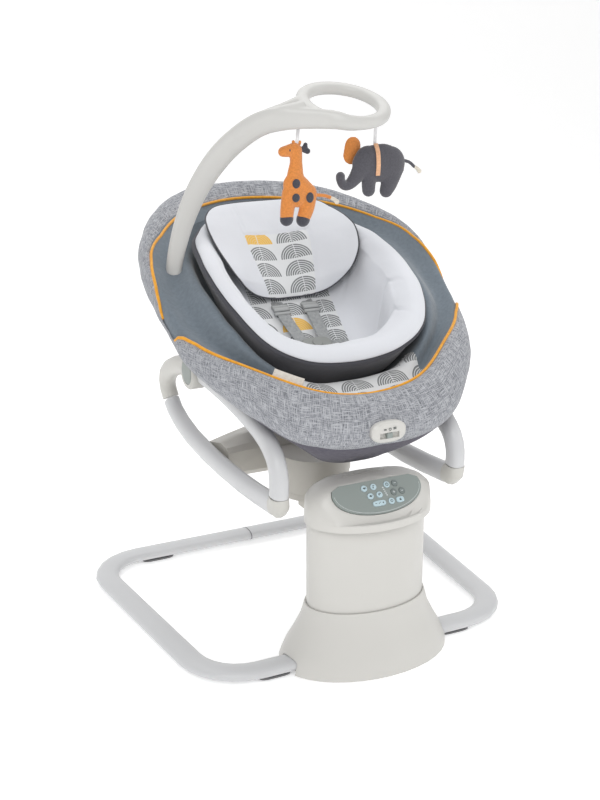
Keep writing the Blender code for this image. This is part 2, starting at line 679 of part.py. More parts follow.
for sign, label in ((-1, "left"), (1, "right")):
    flip = np.array([-sign, 1, 1])
    across = side_axis * flip
    rail_path = np.array([lean(y, z) for y, z in rail_curve]) * flip
    pipe(f"rail_{label}", rail_path, across, RAIL_WIDE / 2, RAIL_DEEP / 2, RAIL_WALL, METAL_WHITE)
    upright_path = smooth_curve(np.array(UPRIGHT_PATH) * (sign, 1, 1), 2)
    pipe(f"upright_{label}", upright_path, across, RAIL_WIDE / 2, RAIL_DEEP / 2, RAIL_WALL, METAL_WHITE)

    foot_rings = []
    for degrees, reach, half in ((0, 0.0190, 0.0183), (30, 0.0210, 0.0203), (62, 0.0212, 0.0205),
                                 (90, 0.0190, 0.0184)):
        turn = math.radians(degrees)
        y, z = 0.0081 - reach * math.cos(turn), 0.3300 - reach * math.sin(turn)
        centre = np.array(lean(y, z)) * flip
        foot_rings.append(disc_ring(centre, (0, -math.sin(turn), math.cos(turn)), across, half,
                                    RAIL_WIDE / 2 + 0.0006, 12, 2.6))
    loft(f"rocker_foot_{label}", foot_rings, WARM)

    elbow_path = np.array([lean(y, z) for y, z in elbow_curve]) * flip
    hub = loft(f"hub_{label}", tube_rings(elbow_path, across, RAIL_WIDE / 2 + 0.0005,
                                          RAIL_DEEP / 2 + 0.0005, 12), WARM)
    barrel_rings = []
    for x, r in ((HUB_FACE_X, HUB_R - 0.003), (HUB_FACE_X - 0.003, HUB_R), (HUB_INNER_X + 0.004, HUB_R),
                 (HUB_INNER_X, HUB_R - 0.004)):
        barrel_rings.append(disc_ring((sign * x, HUB_Y, HUB_Z), (sign, 0, 0), (0, 0, 1), r, r, 24))
    barrel = loft(f"add_barrel_{label}", barrel_rings, WARM, hide=True)
    cut(hub, barrel, operation="UNION")
    pocket = rod(f"cut_pocket_{label}", (sign * (HUB_FACE_X - 0.012), HUB_Y, HUB_Z),
                 (sign * 0.23, HUB_Y, HUB_Z),
                 BUTTON_R + 0.0005, WARM, n=24, hide=True)
    pivot = rod(f"cut_pivot_{label}", (sign * 0.15, HUB_Y, HUB_Z),
                (sign * (HUB_FACE_X - 0.016), HUB_Y, HUB_Z),
                PIVOT_BORE_R, WARM, n=32, hide=True)
    cut(hub, pocket, pivot)
    button_rings = [disc_ring((sign * x, HUB_Y, HUB_Z), (sign, 0, 0), (0, 0, 1), r, r, 24)
                    for x, r in ((HUB_FACE_X - 0.007, BUTTON_R), (HUB_FACE_X - 0.0008, BUTTON_R),
                                 (HUB_FACE_X + 0.0008, BUTTON_R - 0.002))]
    loft(f"recline_button_{label}", button_rings, PANEL_GREY, origin=(sign * HUB_FACE_X, HUB_Y, HUB_Z))

HOUSING_FRONT, HOUSING_REAR = 0.250, 0.356
HOUSING_LOW = 0.268
HOUSING_HALF = 0.1525
HOUSING_RISE = 0.036  # how much higher the housing's top is at the middle than at its ends


def housing_ring(x):
    rise = HOUSING_RISE * (1 - abs(x) / HOUSING_HALF) ** 0.9 if abs(x) < HOUSING_HALF else 0.0
    profile = ((HOUSING_FRONT, HOUSING_LOW + 0.010), (HOUSING_FRONT + 0.008, HOUSING_LOW),
               (HOUSING_REAR - 0.008, HOUSING_LOW),
               (HOUSING_REAR, HOUSING_LOW + 0.010), (HOUSING_REAR, 0.300 + rise),
               (HOUSING_REAR - 0.012, 0.312 + rise),
               (0.285, 0.328 + rise * 0.9), (HOUSING_FRONT + 0.008, 0.326 + rise * 0.3),
               (HOUSING_FRONT, 0.318 + rise * 0.1))
    return np.array([(x, y, z) for y, z in profile])


housing = loft("cross_housing", [housing_ring(x) for x in np.linspace(-HOUSING_HALF, HOUSING_HALF, 9)],
               WARM)
DOCK_LOW = DRUM_TOP + SLIP
collar = prism("add_collar", drum_outline(DRUM_R + 0.002), DOCK_LOW, 0.318, WARM, hide=True)
bridge = box("add_bridge", (-0.055, DRUM_Y, DOCK_LOW), (0.055, HOUSING_FRONT + 0.02, 0.318), WARM,
             hide=True)
cut(housing, collar, bridge, operation="UNION")
relief = prism("cut_drum_relief", drum_outline(DRUM_R + 0.003), 0.20, DOCK_LOW, WARM, hide=True)
latch_socket = box("cut_latch_socket", (-LATCH_HALF - SLIP, DRUM_Y + 0.0305, 0.270),
                   (LATCH_HALF + SLIP, DRUM_Y + 0.0460, DRUM_TOP + LATCH_RISE + 0.002), WARM, hide=True)
hollow_box = box("cut_housing_hollow", (-HOUSING_HALF + 0.004, 0.278, 0.20),
                 (HOUSING_HALF - 0.004, HOUSING_REAR - 0.005, 0.300), WARM, bevel=0.006, hide=True)
cut(housing, relief, latch_socket, hollow_box)

# ---------------------------------------------------------------- seat
# Stations run from the nose (k = 0) round the right side to the head (k = 8). Each holds the section's points.

CREST = ((0, -0.026, 0.489), (0.105, -0.012, 0.503), (0.198, 0.064, 0.537), (0.256, 0.132, 0.567),
         (0.276, 0.210, 0.613), (0.276, 0.312, 0.682), (0.240, 0.395, 0.722), (0.148, 0.496, 0.758),
         (0, 0.556, 0.769))
HEM = ((0, 0.010, 0.472), (0.088, 0.020, 0.480), (0.166, 0.084, 0.510), (0.220, 0.144, 0.540),
       (0.242, 0.205, 0.582), (0.252, 0.298, 0.652), (0.212, 0.368, 0.692), (0.130, 0.450, 0.718),
       (0, 0.510, 0.726))
GIRTH = ((0, -0.062, 0.440), (0.125, -0.046, 0.450), (0.216, 0.028, 0.498), (0.270, 0.116, 0.532),
         (0.282, 0.205, 0.580), (0.279, 0.312, 0.636), (0.247, 0.406, 0.680), (0.156, 0.520, 0.724),
         (0, 0.583, 0.737))
LOWER = ((0, -0.044, 0.402), (0.118, -0.030, 0.412), (0.190, 0.020, 0.452), (0.236, 0.125, 0.502),
         (0.234, 0.205, 0.524), (0.208, 0.302, 0.576), (0.186, 0.380, 0.614), (0.120, 0.472, 0.658),
         (0, 0.530, 0.672))
UNDER = ((0, 0.010, 0.366), (0.084, 0.024, 0.374), (0.142, 0.080, 0.452), (0.160, 0.135, 0.493),
         (0.158, 0.200, 0.502), (0.140, 0.285, 0.536), (0.110, 0.340, 0.566), (0.066, 0.402, 0.594),
         (0, 0.440, 0.604))
BOTTOM = ((0, 0.070, 0.350), (0.045, 0.080, 0.353), (0.090, 0.105, 0.376), (0.102, 0.140, 0.424),
          (0.088, 0.190, 0.440), (0.070, 0.240, 0.464), (0.054, 0.280, 0.486), (0.034, 0.325, 0.514),
          (0, 0.345, 0.524))
BOTTOM_POLE = (0, 0.190, 0.424)


def whole_ring(half, steps=2):
    """A closed ring from the right half's stations, mirrored and smoothed."""
    right = np.asarray(half, float)
    ring = np.concatenate([right, mirrored(right[1:-1])[::-1]])
    return smooth_curve(ring, steps, closed=True)


def shell_rows(rows, pole, per_span=2):
    """Rings smoothed between the rows as well as round them, ending on the pole."""
    rings = np.array([whole_ring(r) for r in rows])
    pole_ring = np.repeat(np.asarray(pole, float)[None], rings.shape[1], 0)
    whole = np.concatenate([rings, pole_ring[None]])
    return smooth_curve(whole.reshape(len(whole), -1), per_span).reshape(-1, rings.shape[1], 3)


def thick_shell(name, rows, thick, colour):
    """A closed skin of this thickness inside a grid of rings whose last row is the pole."""
    m, n = rows.shape[:2]
    across = np.roll(rows, -1, 1) - np.roll(rows, 1, 1)
    along = np.gradient(rows, axis=0)
    normal = np.cross(across, along)
    normal[-1] = normal[-2].sum(0)
    normal /= np.linalg.norm(normal, axis=2)[..., None]
    centre = np.array([0, 0.25, 0.62])
    if np.sum((rows[m // 2] - centre) * normal[m // 2]) < 0:
        normal = -normal
    inside = rows - normal * thick
    points, faces = [], []
    for k, grid in enumerate((rows, inside)):
        start = len(points)
        points += grid[:-1].reshape(-1, 3).tolist()
        faces += grid_faces(start, m - 1, n)
        points.append(grid[-1].mean(0).tolist())
        pole = len(points) - 1
        base = start + (m - 2) * n
        faces += [(base + j, base + (j + 1) % n, pole) for j in range(n)]
    second = (m - 1) * n + 1
    faces += [(j, (j + 1) % n, second + (j + 1) % n, second + j) for j in range(n)]
    return add(name, points, faces, colour)


cover_rows = shell_rows((HEM, CREST, GIRTH, LOWER, UNDER, BOTTOM), BOTTOM_POLE)
cover = thick_shell("seat_cover", cover_rows, COVER_THICK, HEATHER)

# The frame: a ring of tube inside the rim, side bars down to the pivots, and the toy bar's socket.
crest_ring, hem_ring, girth_ring = (whole_ring(r) for r in (CREST, HEM, GIRTH))
ring_path = (hem_ring + girth_ring) / 2
ring_path[:, 2] = np.minimum(ring_path[:, 2], crest_ring[:, 2] - 0.020)
frame = loft("seat_frame", tube_rings(ring_path, (0, 0, 1), FRAME_R, FRAME_R, 6, closed=True,
                                      power=2.0), STEEL,
             closed_path=True)
TOY_X, TOY_Y = -0.230, 0.298
SOCKET_LOW, SOCKET_TOP = 0.6095, 0.645
STEM_R = 0.009
slots = []
for sign, label in ((-1, "left"), (1, "right")):
    flip = np.array([sign, 1, 1])
    bar_path = np.array([(0.262, 0.306, 0.643), (0.228, 0.306, 0.606), (0.192, HUB_Y, 0.562),
                         (0.170, HUB_Y, 0.520),
                         (0.166, HUB_Y, HUB_Z - 0.010)]) * flip
    bar = loft(f"add_bar_{label}", tube_rings(bar_path, (0, 1, 0), 0.011, 0.0035, 8), STEEL, hide=True)
    pin = rod(f"add_pin_{label}", (sign * 0.160, HUB_Y, HUB_Z), (sign * 0.190, HUB_Y, HUB_Z), PIVOT_R,
              STEEL, n=32,
              hide=True)
    cut(frame, bar, pin, operation="UNION")
    slot_path = np.concatenate([[(sign * 0.238, 0.306, 0.617)], bar_path[1:]])
    slot = loft(f"cut_bar_slot_{label}", tube_rings(slot_path, (0, 1, 0), 0.0135, 0.009, 8), HEATHER,
                hide=True)
    slots.append(slot)
    cut(cover, slot)
socket = rod("add_toy_socket", (TOY_X, TOY_Y, SOCKET_LOW), (TOY_X, TOY_Y, SOCKET_TOP), 0.0135, STEEL,
             n=20, hide=True)
cut(frame, socket, operation="UNION")
cut(frame, rod("cut_toy_socket", (TOY_X, TOY_Y, SOCKET_LOW + 0.008), (TOY_X, TOY_Y, SOCKET_TOP + 0.02),
               STEM_R + 0.0005,
               STEEL, n=20, hide=True))

# The pad fills the bottom of the cover, and the insert lies on it.
INSERT_RIM = ((0, 0.056, 0.528), (0.085, 0.058, 0.532), (0.146, 0.082, 0.548), (0.182, 0.136, 0.580),
              (0.198, 0.210, 0.622), (0.190, 0.292, 0.668), (0.160, 0.362, 0.704),
              (0.100, 0.424, 0.726), (0, 0.450, 0.732))
INSERT_SIDE = ((0, 0.072, 0.496), (0.084, 0.074, 0.498), (0.144, 0.098, 0.510), (0.180, 0.150, 0.536),
               (0.194, 0.216, 0.574), (0.186, 0.300, 0.622), (0.158, 0.372, 0.662),
               (0.099, 0.438, 0.694), (0, 0.466, 0.702))
INSERT_BASE = ((0, 0.140, 0.460), (0.050, 0.142, 0.460), (0.090, 0.155, 0.465), (0.115, 0.185, 0.477),
               (0.120, 0.225, 0.502), (0.115, 0.285, 0.547), (0.098, 0.340, 0.590),
               (0.060, 0.395, 0.637), (0, 0.415, 0.652))
INSERT_POLE = (0, 0.250, 0.514)
INSERT_THICK = 0.017
PAD_TOP = ((0, 0.042, 0.450), (0.084, 0.048, 0.452), (0.128, 0.104, 0.464), (0.132, 0.154, 0.484),
           (0.130, 0.214, 0.499), (0.124, 0.286, 0.543), (0.114, 0.346, 0.588), (0.072, 0.412, 0.636),
           (0, 0.435, 0.650))
PAD_LOW = ((0, 0.026, 0.384), (0.072, 0.040, 0.388), (0.106, 0.100, 0.440), (0.112, 0.148, 0.468),
           (0.100, 0.202, 0.478), (0.086, 0.266, 0.512), (0.072, 0.318, 0.544), (0.044, 0.376, 0.580),
           (0, 0.405, 0.590))
thick_shell("body_insert", shell_rows((INSERT_RIM, INSERT_SIDE, INSERT_BASE), INSERT_POLE),
                     INSERT_THICK, PADDING)


def lowered(half, dx, dz):
    """The stations drawn in by a share of their width and moved up by dz."""
    return [(x * (1 - dx), y, z + dz) for x, y, z in half]


def solid_from_rows(name, rows, top_pole, bottom_pole, colour):
    """A closed solid through rings, closed at each end on a pole."""
    rings = [whole_ring(r) for r in rows]
    n = len(rings[0])
    points = np.concatenate(rings + [np.array([top_pole, bottom_pole], float)])
    faces = grid_faces(0, len(rings), n)
    top, bottom = len(points) - 2, len(points) - 1
    last = (len(rings) - 1) * n
    faces += [((j + 1) % n, j, top) for j in range(n)]
    faces += [(last + j, last + (j + 1) % n, bottom) for j in range(n)]
    return add(name, points, faces, colour)


solid_from_rows("seat_pad", (lowered(INSERT_BASE, 0.02, -0.008), PAD_TOP, PAD_LOW,
                             lowered(BOTTOM, 0.12, 0.016)), (0, 0.250, 0.505), (0, 0.190, 0.440),
                             PADDING)

# The head cushion lies over the top of the insert, dished from side to side.
cushion_out = np.array([0, -0.777, 0.629])
cushion_out /= np.linalg.norm(cushion_out)
CUSHION_CENTRE = np.array([0, 0.3600, 0.6700])
CUSHION_HALF_X, CUSHION_HALF_Y = 0.148, 0.104
CUSHION_DISH = 2.5
cushion_rings = []
for w, grow in ((-0.0090, -0.014), (-0.0065, -0.003), (0.0, 0.0), (0.0065, -0.003), (0.0095, -0.016)):
    ring = disc_ring(CUSHION_CENTRE + cushion_out * w, cushion_out, (0, 0, 1), CUSHION_HALF_X + grow,
                     CUSHION_HALF_Y + grow, 28, 2.5)
    narrow = 1.0 - 0.30 * np.clip((CUSHION_CENTRE[2] - ring[:, 2]) / CUSHION_HALF_Y, 0, 1) ** 1.5
    ring[:, 0] *= narrow
    cushion_rings.append(ring + cushion_out * (CUSHION_DISH * ring[:, :1] ** 2))
loft("head_cushion", cushion_rings, PADDING)

# Harness: two shoulder ribbons that meet a short cross ribbon at the buckle.
WEB_HALF, WEB_THICK = 0.0115, 0.0018


def ribbon(name, path, up, **more):
    return loft(name, tube_rings(np.array(path), up, WEB_THICK / 2, WEB_HALF, 8, power=6.0), WEBBING,
                **more)


shoulder = [(0.0300, 0.2945, 0.5870), (0.0285, 0.2600, 0.5620), (0.0265, 0.2180, 0.5385)]
harness = ribbon("harness", [(x, y, z) for x, y, z in shoulder], (0, -0.6, 0.8))
left_web = ribbon("add_web_left", [(-x, y, z) for x, y, z in shoulder], (0, -0.6, 0.8), hide=True)
cross_web = box("add_web_cross", (-0.038, 0.2130, 0.5350), (0.038, 0.2290, 0.5400), WEBBING, hide=True)
cut(harness, left_web, cross_web, operation="UNION")

BUCKLE_HALF_X, BUCKLE_HALF_Y = 0.0285, 0.0185
buckle_out = np.array([0, -0.42, 0.91])
buckle_out /= np.linalg.norm(buckle_out)
buckle_centre = np.array([0, 0.1900, 0.5215])
buckle_rings = [disc_ring(buckle_centre + buckle_out * w, buckle_out, (0, 0, 1), BUCKLE_HALF_X + g,
                          BUCKLE_HALF_Y + g, 28, 3.4)
                for w, g in ((-0.006, -0.001), (-0.005, 0.0), (0.0045, 0.0), (0.0065, -0.002))]
buckle = loft("buckle", buckle_rings, (0.40, 0.43, 0.41, 1.0))
BUCKLE_KEY_R = 0.0095
key_rings = [disc_ring(buckle_centre + buckle_out * w, buckle_out, (0, 0, 1), r, r, 24)
             for w, r in ((0.0005, BUCKLE_KEY_R), (0.0068, BUCKLE_KEY_R),
                          (0.0078, BUCKLE_KEY_R - 0.001))]
loft("buckle_button", key_rings, (0.30, 0.33, 0.31, 1.0), origin=buckle_centre)
cut(buckle, loft("cut_buckle", [disc_ring(buckle_centre + buckle_out * w, buckle_out, (0, 0, 1),
                                          BUCKLE_KEY_R + 0.0004,
                                          BUCKLE_KEY_R + 0.0004, 24) for w in (-0.0035, 0.02)], WEBBING,
                                          hide=True))

# Vibration unit: a pill on the nose with a three-place slider in its window.
VIBE_CENTRE = np.array([0, -0.0700, 0.4385])
VIBE_HALF_X, VIBE_HALF_Z = 0.0325, 0.0185
vibe_rings = [disc_ring(VIBE_CENTRE + (0, w, 0), (0, -1, 0), (0, 0, 1), VIBE_HALF_X + g,
                        VIBE_HALF_Z + g, 32, 2.6)
              for w, g in ((0.0070, -0.001), (0.0055, 0.0), (-0.0020, 0.0), (-0.0050, -0.003))]
vibe = loft("vibration_unit", vibe_rings, WHITE)
window_low, window_high = VIBE_CENTRE + (-0.0185, -0.010, -0.0105), VIBE_CENTRE + (0.0185, 0.0005,
    -0.0005)
cut(vibe, box("cut_vibe_window", window_low, window_high, WHITE, hide=True))
box("vibration_switch", VIBE_CENTRE + (-0.0050, -0.0062, -0.0100), VIBE_CENTRE + (0.0050, 0.0, -0.0010),
    PANEL_GREY)

# ---------------------------------------------------------------- toy bar
# A tapered moulded arch from a stem in the frame's socket up to a ring that carries two soft toys.

RING_CENTRE = np.array([0.0, 0.0996, 0.9530])
RING_TILT = math.radians(20)
RING_OUT, RING_IN = 0.080, 0.056
RING_THICK = 0.016
bar_points = [(TOY_X, TOY_Y, 0.6510), (-0.2298, 0.2975, 0.6680), (-0.2233, 0.2920, 0.7065),
              (-0.2154, 0.2750, 0.7527), (-0.2046, 0.2400, 0.8086), (-0.1881, 0.1950, 0.8617),
              (-0.1659, 0.1550, 0.9006), (-0.1376, 0.1180, 0.9280), (-0.1020, 0.0860, 0.9400),
              (-0.0580, 0.0640, 0.9400)]
bar_path = smooth_curve(bar_points, 2)
share = np.linspace(0, 1, len(bar_path))
half_wide = np.interp(share, (0, 0.12, 0.45, 0.75, 1), (0.0140, 0.0155, 0.0205, 0.0225, 0.0130))
half_thin = np.interp(share, (0, 0.12, 0.45, 0.75, 1), (0.0110, 0.0105, 0.0100, 0.0090, 0.0080))
toy_bar = loft("toy_bar", tube_rings(bar_path, (0.45, 0.87, 0.0), half_thin, half_wide, 12, power=2.2),
               WHITE,
               origin=(TOY_X, TOY_Y, 0.65))
ring_up = np.array([0, -math.sin(RING_TILT), math.cos(RING_TILT)])
ring_side = np.array([0, math.cos(RING_TILT), math.sin(RING_TILT)])
turn = np.arange(30) * 2 * np.pi / 30
mid_r = (RING_OUT + RING_IN) / 2
circle = RING_CENTRE + mid_r * (np.cos(turn)[:, None] * np.array([1, 0, 0]) + np.sin(turn)[:,
    None] * ring_side)
hoop = loft("add_toy_ring", tube_rings(circle, ring_up, RING_THICK / 2, (RING_OUT - RING_IN) / 2, 8,
                                       closed=True, power=2.6),
            WHITE, closed_path=True, hide=True)
stem = rod("add_toy_stem", (TOY_X, TOY_Y, SOCKET_LOW + 0.0085), (TOY_X, TOY_Y, 0.655), STEM_R, WHITE,
           n=20, hide=True)
cut(toy_bar, hoop, stem, operation="UNION")

# Toys: flat stuffed shapes cut as one outline each, hung on a short ribbon under the ring.
TOY_THICK = 0.020


def toy(name, outline, hang, colour, size=1.0):
    """A stuffed outline given as (across, down) points from its hanging point, domed front and back."""
    outline = smooth_curve(size * np.array(outline, float), 1, closed=True)
    centre = outline.mean(0)
    rings = []
    for y, shrink in ((-0.5, 0.86), (-0.28, 1.0), (0.28, 1.0), (0.5, 0.86)):
        flat = centre + (outline - centre) * shrink
        rings.append(np.column_stack([hang[0] + flat[:, 0], np.full(len(flat), hang[1] + y * TOY_THICK),
                                      hang[2] - flat[:, 1]]))
    return loft(name, rings, colour, origin=hang)


giraffe_outline = ((-0.002, 0.0), (0.002, 0.0), (0.0025, 0.016), (0.010, 0.020), (0.014, 0.030),
                   (0.010, 0.055), (0.016, 0.074),
                   (0.034, 0.086), (0.038, 0.104), (0.030, 0.124), (0.027, 0.150), (0.012, 0.152),
                   (0.008, 0.128),
                   (0.002, 0.128), (-0.001, 0.150), (-0.018, 0.150), (-0.018, 0.110), (-0.014, 0.075),
                   (-0.012, 0.042),
                   (-0.030, 0.040), (-0.036, 0.032), (-0.022, 0.022), (-0.008, 0.018), (-0.0025, 0.016))
GIRAFFE_HANG = (-0.078, 0.0940, 0.9220)
ELEPHANT_HANG = (0.064, 0.0900, 0.9220)
toy("giraffe", giraffe_outline, GIRAFFE_HANG, (0.80, 0.42, 0.12, 1.0))
elephant_outline = ((-0.002, 0.0), (0.002, 0.0), (0.0025, 0.020), (0.030, 0.022), (0.052, 0.032),
                    (0.060, 0.050), (0.058, 0.075),
                    (0.054, 0.100), (0.036, 0.100), (0.034, 0.080), (0.020, 0.078), (0.018, 0.098),
                    (0.000, 0.098),
                    (-0.004, 0.076), (-0.024, 0.076), (-0.036, 0.090), (-0.056, 0.088), (-0.064, 0.068),
                    (-0.052, 0.066),
                    (-0.046, 0.076), (-0.036, 0.060), (-0.034, 0.036), (-0.022, 0.022),
                    (-0.0025, 0.020))
toy("elephant", elephant_outline, ELEPHANT_HANG, (0.14, 0.15, 0.17, 1.0), size=1.15)
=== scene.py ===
"""Looks of the baby swing: floor loop, drive tower, swing arm, lift-off rocker, padded seat, and toy arch.

Lengths are in metres, +Z is up, the tower stands at the front (-Y) and the head end is at +Y.
"""

import json
import math
from functools import partial

import bmesh
import bpy
import numpy as np
from mathutils import Vector
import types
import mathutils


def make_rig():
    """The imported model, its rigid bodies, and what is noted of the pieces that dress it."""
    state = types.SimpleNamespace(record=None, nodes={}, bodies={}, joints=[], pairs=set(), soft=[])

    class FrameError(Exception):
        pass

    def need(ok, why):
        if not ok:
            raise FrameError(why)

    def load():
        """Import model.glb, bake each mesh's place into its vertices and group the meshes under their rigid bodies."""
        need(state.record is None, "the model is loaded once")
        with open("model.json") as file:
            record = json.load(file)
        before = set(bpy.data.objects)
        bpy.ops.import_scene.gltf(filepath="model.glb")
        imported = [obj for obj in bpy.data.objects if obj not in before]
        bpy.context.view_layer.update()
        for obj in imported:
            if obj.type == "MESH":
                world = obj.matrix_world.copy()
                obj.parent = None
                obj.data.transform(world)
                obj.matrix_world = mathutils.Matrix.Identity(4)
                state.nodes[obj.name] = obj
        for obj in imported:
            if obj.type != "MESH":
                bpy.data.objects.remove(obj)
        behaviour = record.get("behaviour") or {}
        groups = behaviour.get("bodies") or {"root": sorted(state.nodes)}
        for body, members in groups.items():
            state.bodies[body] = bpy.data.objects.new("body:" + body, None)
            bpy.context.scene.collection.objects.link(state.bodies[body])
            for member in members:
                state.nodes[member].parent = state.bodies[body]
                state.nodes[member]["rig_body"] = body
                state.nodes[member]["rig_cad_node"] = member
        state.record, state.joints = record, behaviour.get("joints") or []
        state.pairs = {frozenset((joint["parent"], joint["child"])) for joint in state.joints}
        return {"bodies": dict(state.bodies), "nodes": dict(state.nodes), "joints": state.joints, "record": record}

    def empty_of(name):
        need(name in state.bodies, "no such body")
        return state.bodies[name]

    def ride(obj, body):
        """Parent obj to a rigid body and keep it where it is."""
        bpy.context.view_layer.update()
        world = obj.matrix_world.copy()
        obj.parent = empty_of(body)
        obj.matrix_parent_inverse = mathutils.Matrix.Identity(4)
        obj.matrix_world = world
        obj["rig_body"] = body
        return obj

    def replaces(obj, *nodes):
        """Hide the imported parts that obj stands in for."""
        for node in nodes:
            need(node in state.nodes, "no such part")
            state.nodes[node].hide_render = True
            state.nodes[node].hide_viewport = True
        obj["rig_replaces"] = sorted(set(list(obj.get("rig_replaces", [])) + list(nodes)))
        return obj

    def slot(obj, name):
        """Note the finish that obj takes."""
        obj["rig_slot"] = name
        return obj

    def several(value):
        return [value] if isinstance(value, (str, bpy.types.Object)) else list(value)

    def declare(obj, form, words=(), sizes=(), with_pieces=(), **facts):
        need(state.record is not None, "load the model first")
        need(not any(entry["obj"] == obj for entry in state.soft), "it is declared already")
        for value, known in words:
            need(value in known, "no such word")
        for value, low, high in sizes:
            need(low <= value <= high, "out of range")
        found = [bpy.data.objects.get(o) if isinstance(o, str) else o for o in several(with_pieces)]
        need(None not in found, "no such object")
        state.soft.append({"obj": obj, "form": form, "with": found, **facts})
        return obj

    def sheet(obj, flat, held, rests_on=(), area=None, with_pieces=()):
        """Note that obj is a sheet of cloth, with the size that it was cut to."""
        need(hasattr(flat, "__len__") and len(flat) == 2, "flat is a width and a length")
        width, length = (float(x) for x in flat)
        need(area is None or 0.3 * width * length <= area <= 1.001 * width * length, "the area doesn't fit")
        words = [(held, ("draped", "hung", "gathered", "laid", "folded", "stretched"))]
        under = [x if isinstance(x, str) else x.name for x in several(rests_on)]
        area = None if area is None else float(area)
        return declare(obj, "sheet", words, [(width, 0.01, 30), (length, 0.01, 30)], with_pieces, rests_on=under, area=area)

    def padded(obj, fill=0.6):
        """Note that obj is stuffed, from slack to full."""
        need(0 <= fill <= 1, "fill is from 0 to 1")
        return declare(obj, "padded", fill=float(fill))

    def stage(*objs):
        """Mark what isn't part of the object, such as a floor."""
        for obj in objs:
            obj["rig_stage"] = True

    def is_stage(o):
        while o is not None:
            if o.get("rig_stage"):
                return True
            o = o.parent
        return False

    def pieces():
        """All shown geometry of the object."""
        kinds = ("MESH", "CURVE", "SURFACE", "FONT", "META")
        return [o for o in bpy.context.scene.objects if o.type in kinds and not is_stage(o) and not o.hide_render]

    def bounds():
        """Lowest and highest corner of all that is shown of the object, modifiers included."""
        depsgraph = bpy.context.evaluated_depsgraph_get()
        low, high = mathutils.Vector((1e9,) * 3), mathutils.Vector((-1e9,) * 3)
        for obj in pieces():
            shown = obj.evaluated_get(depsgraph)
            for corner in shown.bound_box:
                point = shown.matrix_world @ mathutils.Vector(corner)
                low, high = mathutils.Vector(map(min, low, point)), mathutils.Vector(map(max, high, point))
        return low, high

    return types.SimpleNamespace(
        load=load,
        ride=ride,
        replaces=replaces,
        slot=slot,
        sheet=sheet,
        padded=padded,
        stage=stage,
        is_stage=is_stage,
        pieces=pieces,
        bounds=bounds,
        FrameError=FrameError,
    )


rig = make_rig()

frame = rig.load()
nodes = frame["nodes"]
cad_box = [list(corner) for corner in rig.bounds()]

# ------------------------------------------------------------------------------ camera
# A long lens looks down at the foot end from the swing's left, far enough away to show the whole loop.
CAMERA_TURN = math.radians(-26.2779)
CAMERA_RISE = math.radians(17.8611)
CAMERA_REACH = 2.0763
LOOKED_AT = Vector((-0.1283, 0.0, 0.4911))
back = Vector((math.sin(CAMERA_TURN) * math.cos(CAMERA_RISE),
               -math.cos(CAMERA_TURN) * math.cos(CAMERA_RISE),
               math.sin(CAMERA_RISE)))
camera = bpy.data.objects.new("camera", bpy.data.cameras.new("camera"))
camera.data.sensor_fit = "VERTICAL"
camera.data.sensor_height = 36.0
camera.data.lens = 56.82
camera.location = LOOKED_AT + back * CAMERA_REACH
camera.rotation_euler = back.to_track_quat("Z", "Y").to_euler()
bpy.context.scene.collection.objects.link(camera)
bpy.context.scene.camera = camera

# ------------------------------------------------------------------------------ studio
# A pale sweep of floor that curves up behind, a bright even sky, and three large soft lamps.
FLOOR_DROP = 0.0004
FLOOR_PALE = (0.93, 0.93, 0.93, 1.0)
FLOOR_GLOW, SKY_LIGHT = 0.32, 0.56
FLOOR_NEAR, FLOOR_FAR, SWEEP_R, BACKDROP_TOP = -6, 3.0, 2.5, 7.0
LAMPS_AIM = Vector((0, 0.15, 0.5))


def ring_quads(index):
    """One quad for each cell of a grid of vertex numbers."""
    return np.stack([index[:-1, :-1], index[:-1, 1:], index[1:, 1:], index[1:, :-1]], -1).reshape(-1, 4)


def grid_mesh(name, grid, close_u=False, close_v=False, uv=None, flip=False):
    """A quad mesh on an array of points (rows, columns, 3), wrapped round where closed, with an
    optional UV map."""
    rows, columns = grid.shape[:2]
    index = np.arange(rows * columns).reshape(rows, columns)
    if close_v:
        index = np.concatenate([index, index[:1]], 0)
    if close_u:
        index = np.concatenate([index, index[:, :1]], 1)
    quads = ring_quads(index)
    if flip:
        quads = quads[:, ::-1]
    mesh = bpy.data.meshes.new(name)
    mesh.from_pydata(grid.reshape(-1, 3).tolist(), [], quads.tolist())
    if uv is not None:
        flat = uv.reshape(-1, 2)
        layer = mesh.uv_layers.new(name="cloth")
        corners = np.empty(len(mesh.loops), np.int32)
        mesh.loops.foreach_get("vertex_index", corners)
        layer.data.foreach_set("uv", flat[corners].astype(np.float32).reshape(-1))
    mesh.shade_smooth()
    made = bpy.data.objects.new(name, mesh)
    bpy.context.scene.collection.objects.link(made)
    return made


def wear(piece, *materials):
    """Puts these materials on a piece in place of what it had."""
    piece.data.materials.clear()
    for finish in materials:
        piece.data.materials.append(finish)


def new_material(name):
    """An empty node material: its tree and its one Principled shader."""
    made = bpy.data.materials.new(name)
    made.use_nodes = True
    return made, made.node_tree, made.node_tree.nodes["Principled BSDF"]


def node(tree, kind, links=(), **values):
    """A shader node with its properties, its input values (named with in_) and links to its inputs."""
    made = tree.nodes.new(kind)
    for key, value in values.items():
        if key.startswith("in_"):
            made.inputs[int(key[3:])].default_value = value
        else:
            setattr(made, key, value)
    for target, source in links:
        tree.links.new(source, made.inputs[target])
    return made


def shades(tree, factor, dark, light):
    """The colour between dark and light at this factor."""
    mix = node(tree, "ShaderNodeMix", data_type="RGBA")
    tree.links.new(factor, mix.inputs["Factor"])
    mix.inputs[6].default_value = (*dark, 1.0)
    mix.inputs[7].default_value = (*light, 1.0)
    return mix.outputs[2]


